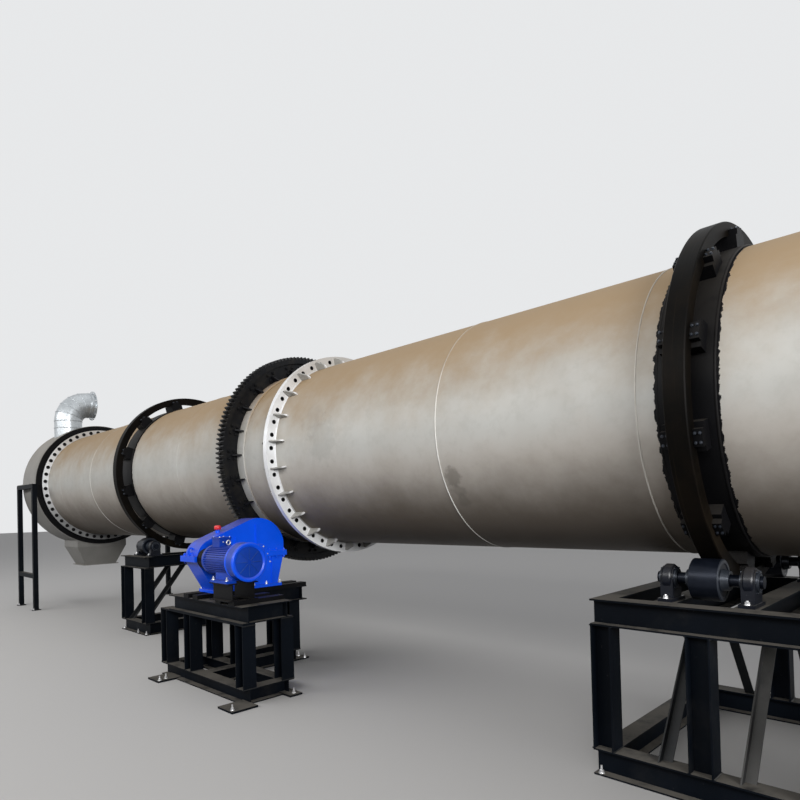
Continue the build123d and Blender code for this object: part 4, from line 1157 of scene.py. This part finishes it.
# %% Coupling jaws
JAWS, JAW_IN, JAW_OUT, JAW_TURN = 8, 0.070, 0.0945, 9
COUPLING_HALF, JAW_ROOT, JAW_TIP = 0.055, 0.052, 0.012
JAW_FACES = ((0, 1, 2, 3), (4, 5, 6, 7), (0, 1, 5, 4), (1, 2, 6, 5), (2, 3, 7, 6), (3, 0, 4, 7))
RING_ROW = [(-0.016, 0.088), (-0.016, 0.0935), (0, 0.0935), (0.002, 0.088)]
coupling = middle("motor_coupling").x
jaws = bmesh.new()
for i in range(JAWS):
    for side in (-1, 1):
        angle = 360 / JAWS * (i + (0.5 if side > 0 else 0.0))
        points = [jaws.verts.new(on_round(INPUT_LINE, x, r, angle + turn))
                  for x in (coupling + side * JAW_ROOT, coupling - side * JAW_TIP)
                  for r, turn in ((JAW_IN, -JAW_TURN), (JAW_IN, JAW_TURN), (JAW_OUT, JAW_TURN),
                                  (JAW_OUT, -JAW_TURN))]
        for face in JAW_FACES:
            jaws.faces.new([points[k] for k in face])
bmesh.ops.recalc_face_normals(jaws, faces=jaws.faces)
bmesh.ops.bevel(jaws, geom=jaws.edges[:], offset=0.0015, segments=1, affect="EDGES")
placed("coupling_jaws", jaws, "dark_steel", look="worn_steel")
rings = both_faces(INPUT_LINE, coupling, COUPLING_HALF, RING_ROW)
turned("coupling_rings", rings, "dark_steel", look="worn_steel")

# %% [markdown]
# ## The pinion and its outboard bearing
# The pinion meshes with the girth gear below and beside the drum. Its outer bearing is a large
# pillow block, bolted down on both sides, with a ringed seal and small bolts on both faces.

# %% Pinion hub rings and bearing bolts
PINION_HALF, PINION_BLOCK_HALF, PINION_CAPS, PINION_FOOT = 0.055, 0.049, 0.104, 0.030
PINION_HUB = [(0.0, 0.058), (0.0108, 0.058), (0.0108, 0.092), (0.0072, 0.100), (-0.0024, 0.104),
              (-0.0024, 0.058)]
CAP_RING = [(-0.002, 0.0635), (0.008, 0.0635), (0.012, 0.068), (0.012, 0.086), (0.007, 0.094),
            (-0.002, 0.096)]
block_low, block_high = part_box("pinion_bearing")
block_x = (block_low[0] + block_high[0]) / 2
turned("pinion_hubs", both_faces(PINION_LINE, GEAR, PINION_HALF, PINION_HUB), "greased_steel",
       "pinion")
turned("pinion_bearing_seals", both_faces(PINION_LINE, block_x, PINION_BLOCK_HALF, CAP_RING),
       "housing_paint")
caps = [spot for side in (-1, 1)
        for spot in face_bolts(PINION_LINE, block_x + side * PINION_BLOCK_HALF, PINION_CAPS,
                               CAP_BOLTS, CAP_TURN, side)]
spots = standing([(block_x + a, PINION_LINE[0] + b, block_low[2] + PINION_FOOT)
                  for a in (-0.030, 0.030) for b in (-0.165, 0.165)])
bolts("pinion_bearing_bolts", spots, "housing_paint", 0.028, 0.016, look="fastener_zinc",
      washer=0.020, stud=0.016, seed=25)
bolts("pinion_cap_bolts", caps, "housing_paint", 0.013, 0.006, look="dark_steel", seed=27)

# %% [markdown]
# ## Anchors and stand bolts
# The stands are held to the floor by anchor bolts. Their zinc catches the light, so they are
# the brightest dots low in the picture. We put them on the foot plates of the drive stand, on
# the bottom flanges of the roller stands, and on the feet of the hoods' legs.

# %% Anchor bolts
PLATE_TOP, FLANGE_TOP, LEG_PLATE_TOP = 0.016, 0.010, 0.012
BASE_EDGE, BASE_END, BASE_MIDDLE = 0.022, 0.035, 0.10
LEG_IN, LEG_EDGE, LEG_STEP = 0.06, 0.014, 0.046
DRIVE_ANCHORS = ((-0.780, -1.424), (-0.812, -1.351), (0.500, -1.418), (0.500, -0.841),
                 (-1.115, -0.850), (-0.865, -0.035), (-0.755, -0.035), (-0.545, -0.035),
                 (-0.435, -0.035))
places = [(x, y, PLATE_TOP) for x, y in DRIVE_ANCHORS]
for low, high in (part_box("stand_base_near"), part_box("stand_base_far")):
    places += [(x, y, FLANGE_TOP) for y in (low[1] + BASE_EDGE, high[1] - BASE_EDGE)
               for x in (low[0] + BASE_END, (low[0] + high[0]) / 2 + BASE_MIDDLE,
                         high[0] - BASE_END)]
bolts("anchor_bolts", standing(places), "galvanised", 0.026, 0.014, look="fastener_zinc",
      washer=0.018, stud=0.026, seed=29)
leg_low, leg_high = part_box("feed_legs")
places = [(side * (x + step), y, LEG_PLATE_TOP) for side in (-1, 1)
          for x in (leg_low[0] + LEG_IN, leg_high[0] - LEG_IN)
          for y in (leg_low[1] + LEG_EDGE, leg_high[1] - LEG_EDGE)
          for step in (-LEG_STEP, LEG_STEP)]
bolts("leg_anchor_bolts", standing(places), "galvanised", 0.018, 0.010, look="fastener_zinc",
      washer=0.012, stud=0.018, seed=30)

# %% [markdown]
# ## Welds on the stands
# The stands are welded from rolled sections. A short bead runs along both flanges at the head
# and the foot of every post. Without it the sections look like stacked blocks, and the thin
# bright line where the picture shows a post's foot is missing.

# %% Beads at the posts
SECTION_HALF, BEAD_REACH = 0.060, 0.062
POST_FOOT, POST_HEAD, POST_LINE = 0.150, 0.8501, 0.800


def flange_lines(x, y, z):
    """Two short beads along a post's flanges, which lie square to X."""
    return [[Vector((x + s * BEAD_REACH, y - SECTION_HALF + SECTION_HALF * i / 2, z))
             for i in range(5)] for s in (-1, 1)]


lines = []
for ring, steps in ((NEAR_RING, (-0.520, 0, 0.520)), (FAR_RING, (-0.330, 0.330))):
    for step in steps:
        for side in (-1, 1):
            for z in (POST_FOOT, POST_HEAD):
                lines += flange_lines(ring + step, AXIS_Y + side * POST_LINE, z)
posts_low, posts_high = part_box("drive_stand_posts")
for y, places, head in ((AXIS_Y - 1.470, (-0.994, -0.517, 0.380), posts_high[2] - 0.014),
                        (AXIS_Y - 1.100, (-0.810, -0.350, 0.380), posts_high[2]),
                        (AXIS_Y - 0.400, (-0.810, -0.490), posts_high[2])):
    for x in places:
        for z in (posts_low[2], head):
            lines += flange_lines(x, y, z)
beads("stand_welds", lines, "stand_paint", 0.005, 0.004, 0.02, 5, look="brace_paint")

# %% [markdown]
# ## Hoods, elbow and chute
# The hoods stand still while the drum turns in them. A flat seal ring with a row of bolts
# closes the gap. The end plates are bolted round their rims and stiffened by ribs, and the gas
# inlet has a bolted ring. The exhaust elbow is made of short sheet segments, so a raised seam
# runs round it at every joint, and its mouth is bolted.

# %% Seal rings and plate bolts of the hoods
SEAL_ROW = [(-0.004, 0.944), (-0.008, 0.950), (-0.008, 0.975), (-0.002, 0.980), (0.0, 0.980),
            (0.0, 0.944)]
INLET_ROW = [(0.0, 0.303), (0.008, 0.303), (0.008, 0.383), (0.0065, 0.385), (0.0, 0.385)]
RING_CIRCLE, RIM_CIRCLE, HOOD_BOLTS, HOOD_TURN = 1.022, 1.040, 30, 6
INLET_THICK, INLET_CIRCLE, INLET_BOLTS = 0.008, 0.345, 16
hood_face, plate_face = (corner[0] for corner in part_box("feed_hood"))
ring_spots, plate_spots = [], []
for s in (-1, 1):
    ring_spots += face_bolts(DRUM_LINE, s * hood_face, RING_CIRCLE, HOOD_BOLTS, HOOD_TURN, -s)
    plate_spots += face_bolts(DRUM_LINE, s * plate_face, RIM_CIRCLE, HOOD_BOLTS, HOOD_TURN, s)
plate_spots += face_bolts(DRUM_LINE, plate_face + INLET_THICK, INLET_CIRCLE, INLET_BOLTS)
turned("hood_seals", both_faces(DRUM_LINE, 0, hood_face, SEAL_ROW), "dark_steel", steps=96)
bolts("hood_bolts", ring_spots, "black_paint", 0.024, 0.010, stud=0.006, seed=31)
bolts("end_plate_bolts", plate_spots, "black_paint", 0.024, 0.009, look="roller_steel", stud=0.005,
      seed=37)
turned("inlet_ring", profiles_at(DRUM_LINE, plate_face, 1, INLET_ROW), "dark_steel", steps=96)

# %% Stiffeners of the end plates
RIBS, RIB_HALF, RIB_WELD, RIB_END, RIB_STEPS = 8, 0.005, 0.007, 0.990, 12
shape = bmesh.new()
rib_welds = []
for s, inner in ((-1, 0.14), (1, 0.43)):
    outline = [(inner, 0.0), (inner, 0.006), (inner + 0.03, 0.020), (0.960, 0.020),
               (RIB_END, 0.006), (RIB_END, 0.0)]
    radii = [inner + (RIB_END - inner) * j / RIB_STEPS for j in range(RIB_STEPS + 1)]
    for i in range(RIBS):
        angle = 360 / RIBS * (i + 0.5)
        sides = []
        for turn in (-1, 1):
            sides.append([shape.verts.new(on_round(DRUM_LINE, s * (plate_face + out), r,
                                                   angle + turn * math.degrees(RIB_HALF / r)))
                          for r, out in outline])
            rib_welds.append([on_round(DRUM_LINE, s * plate_face, r,
                                       angle + turn * math.degrees(RIB_WELD / r)) for r in radii])
            shape.faces.new(sides[-1])
        for j in range(len(outline)):
            k = (j + 1) % len(outline)
            shape.faces.new((sides[0][j], sides[0][k], sides[1][k], sides[1][j]))
placed("end_plate_ribs", shape, "black_paint")
beads("end_plate_welds", rib_welds, "black_paint", 0.004, 0.003, sides=5)

# %% Seams of the elbow
DUCT_RADIUS, BEND, GORES, MOUTH_BOLTS, MOUTH_CIRCLE = 0.225, 0.330, 5, 12, 0.250
DUCT_LEAN, DUCT_RISE, RISER_SEAM, MOUTH_SEAM, MOUTH_THICK = 0.430, 1.170, 0.13, 0.075, 0.010
elbow_low, elbow_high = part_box("exhaust_elbow")
duct_x = (elbow_low[0] + elbow_high[0]) / 2
duct_y = AXIS_Y - DUCT_LEAN
bend_z = AXIS_Z + DUCT_RISE
hub_y = duct_y + BEND


def duct_ring(centre, across, steps=48):
    """A circle round the duct as a closed path, through X and one direction square to it."""
    turns = [math.tau * (i % steps) / steps for i in range(steps + 1)]
    return [Vector(centre) + DUCT_RADIUS * (Vector((1, 0, 0)) * math.cos(t)
                                            + Vector(across) * math.sin(t)) for t in turns]


seams = []
for i in range(GORES + 1):
    a = math.radians(90 * i / GORES)
    centre = (duct_x, hub_y - BEND * math.cos(a), bend_z + BEND * math.sin(a))
    seams.append(duct_ring(centre, (0, -math.cos(a), math.sin(a))))
seams += [duct_ring((duct_x, duct_y, bend_z - RISER_SEAM), (0, 1, 0)),
          duct_ring((duct_x, elbow_high[1] - MOUTH_SEAM, bend_z + BEND), (0, 0, 1))]
beads("elbow_seams", seams, "galvanised", 0.008, 0.001)
turns = [math.tau * (i + 0.5) / MOUTH_BOLTS for i in range(MOUTH_BOLTS)]
mouth = [(Vector((duct_x + MOUTH_CIRCLE * math.cos(t), elbow_high[1] - MOUTH_THICK,
                  bend_z + BEND + MOUTH_CIRCLE * math.sin(t))), (0, -1, 0)) for t in turns]
bolts("elbow_mouth_bolts", mouth, "galvanised", 0.018, 0.009, look="fastener_zinc", stud=0.006,
      seed=33)

# %% Bolts of the chute's lip
LIP_BOLTS, LIP_EDGE, LIP_CORNER, LIP_THICK = 6, 0.024, 0.04, 0.012
(left, front, _), (right, back, lip_top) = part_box("feed_chute")
lip_z = lip_top - LIP_THICK
spots = []
for i in range(LIP_BOLTS):
    a, b = (start + LIP_CORNER + (stop - start - 2 * LIP_CORNER) * i / (LIP_BOLTS - 1)
            for start, stop in ((left, right), (front, back)))
    places = [(a, y) for y in (front + LIP_EDGE, back - LIP_EDGE)]
    if 0 < i < LIP_BOLTS - 1:
        places += [(x, b) for x in (left + LIP_EDGE, right - LIP_EDGE)]
    spots += [(Vector((x, y, lip_z)), (0, 0, -1)) for x, y in places]
bolts("chute_lip_bolts", spots, "hood_paint", 0.020, 0.010, look="fastener_zinc", stud=0.006, seed=35)
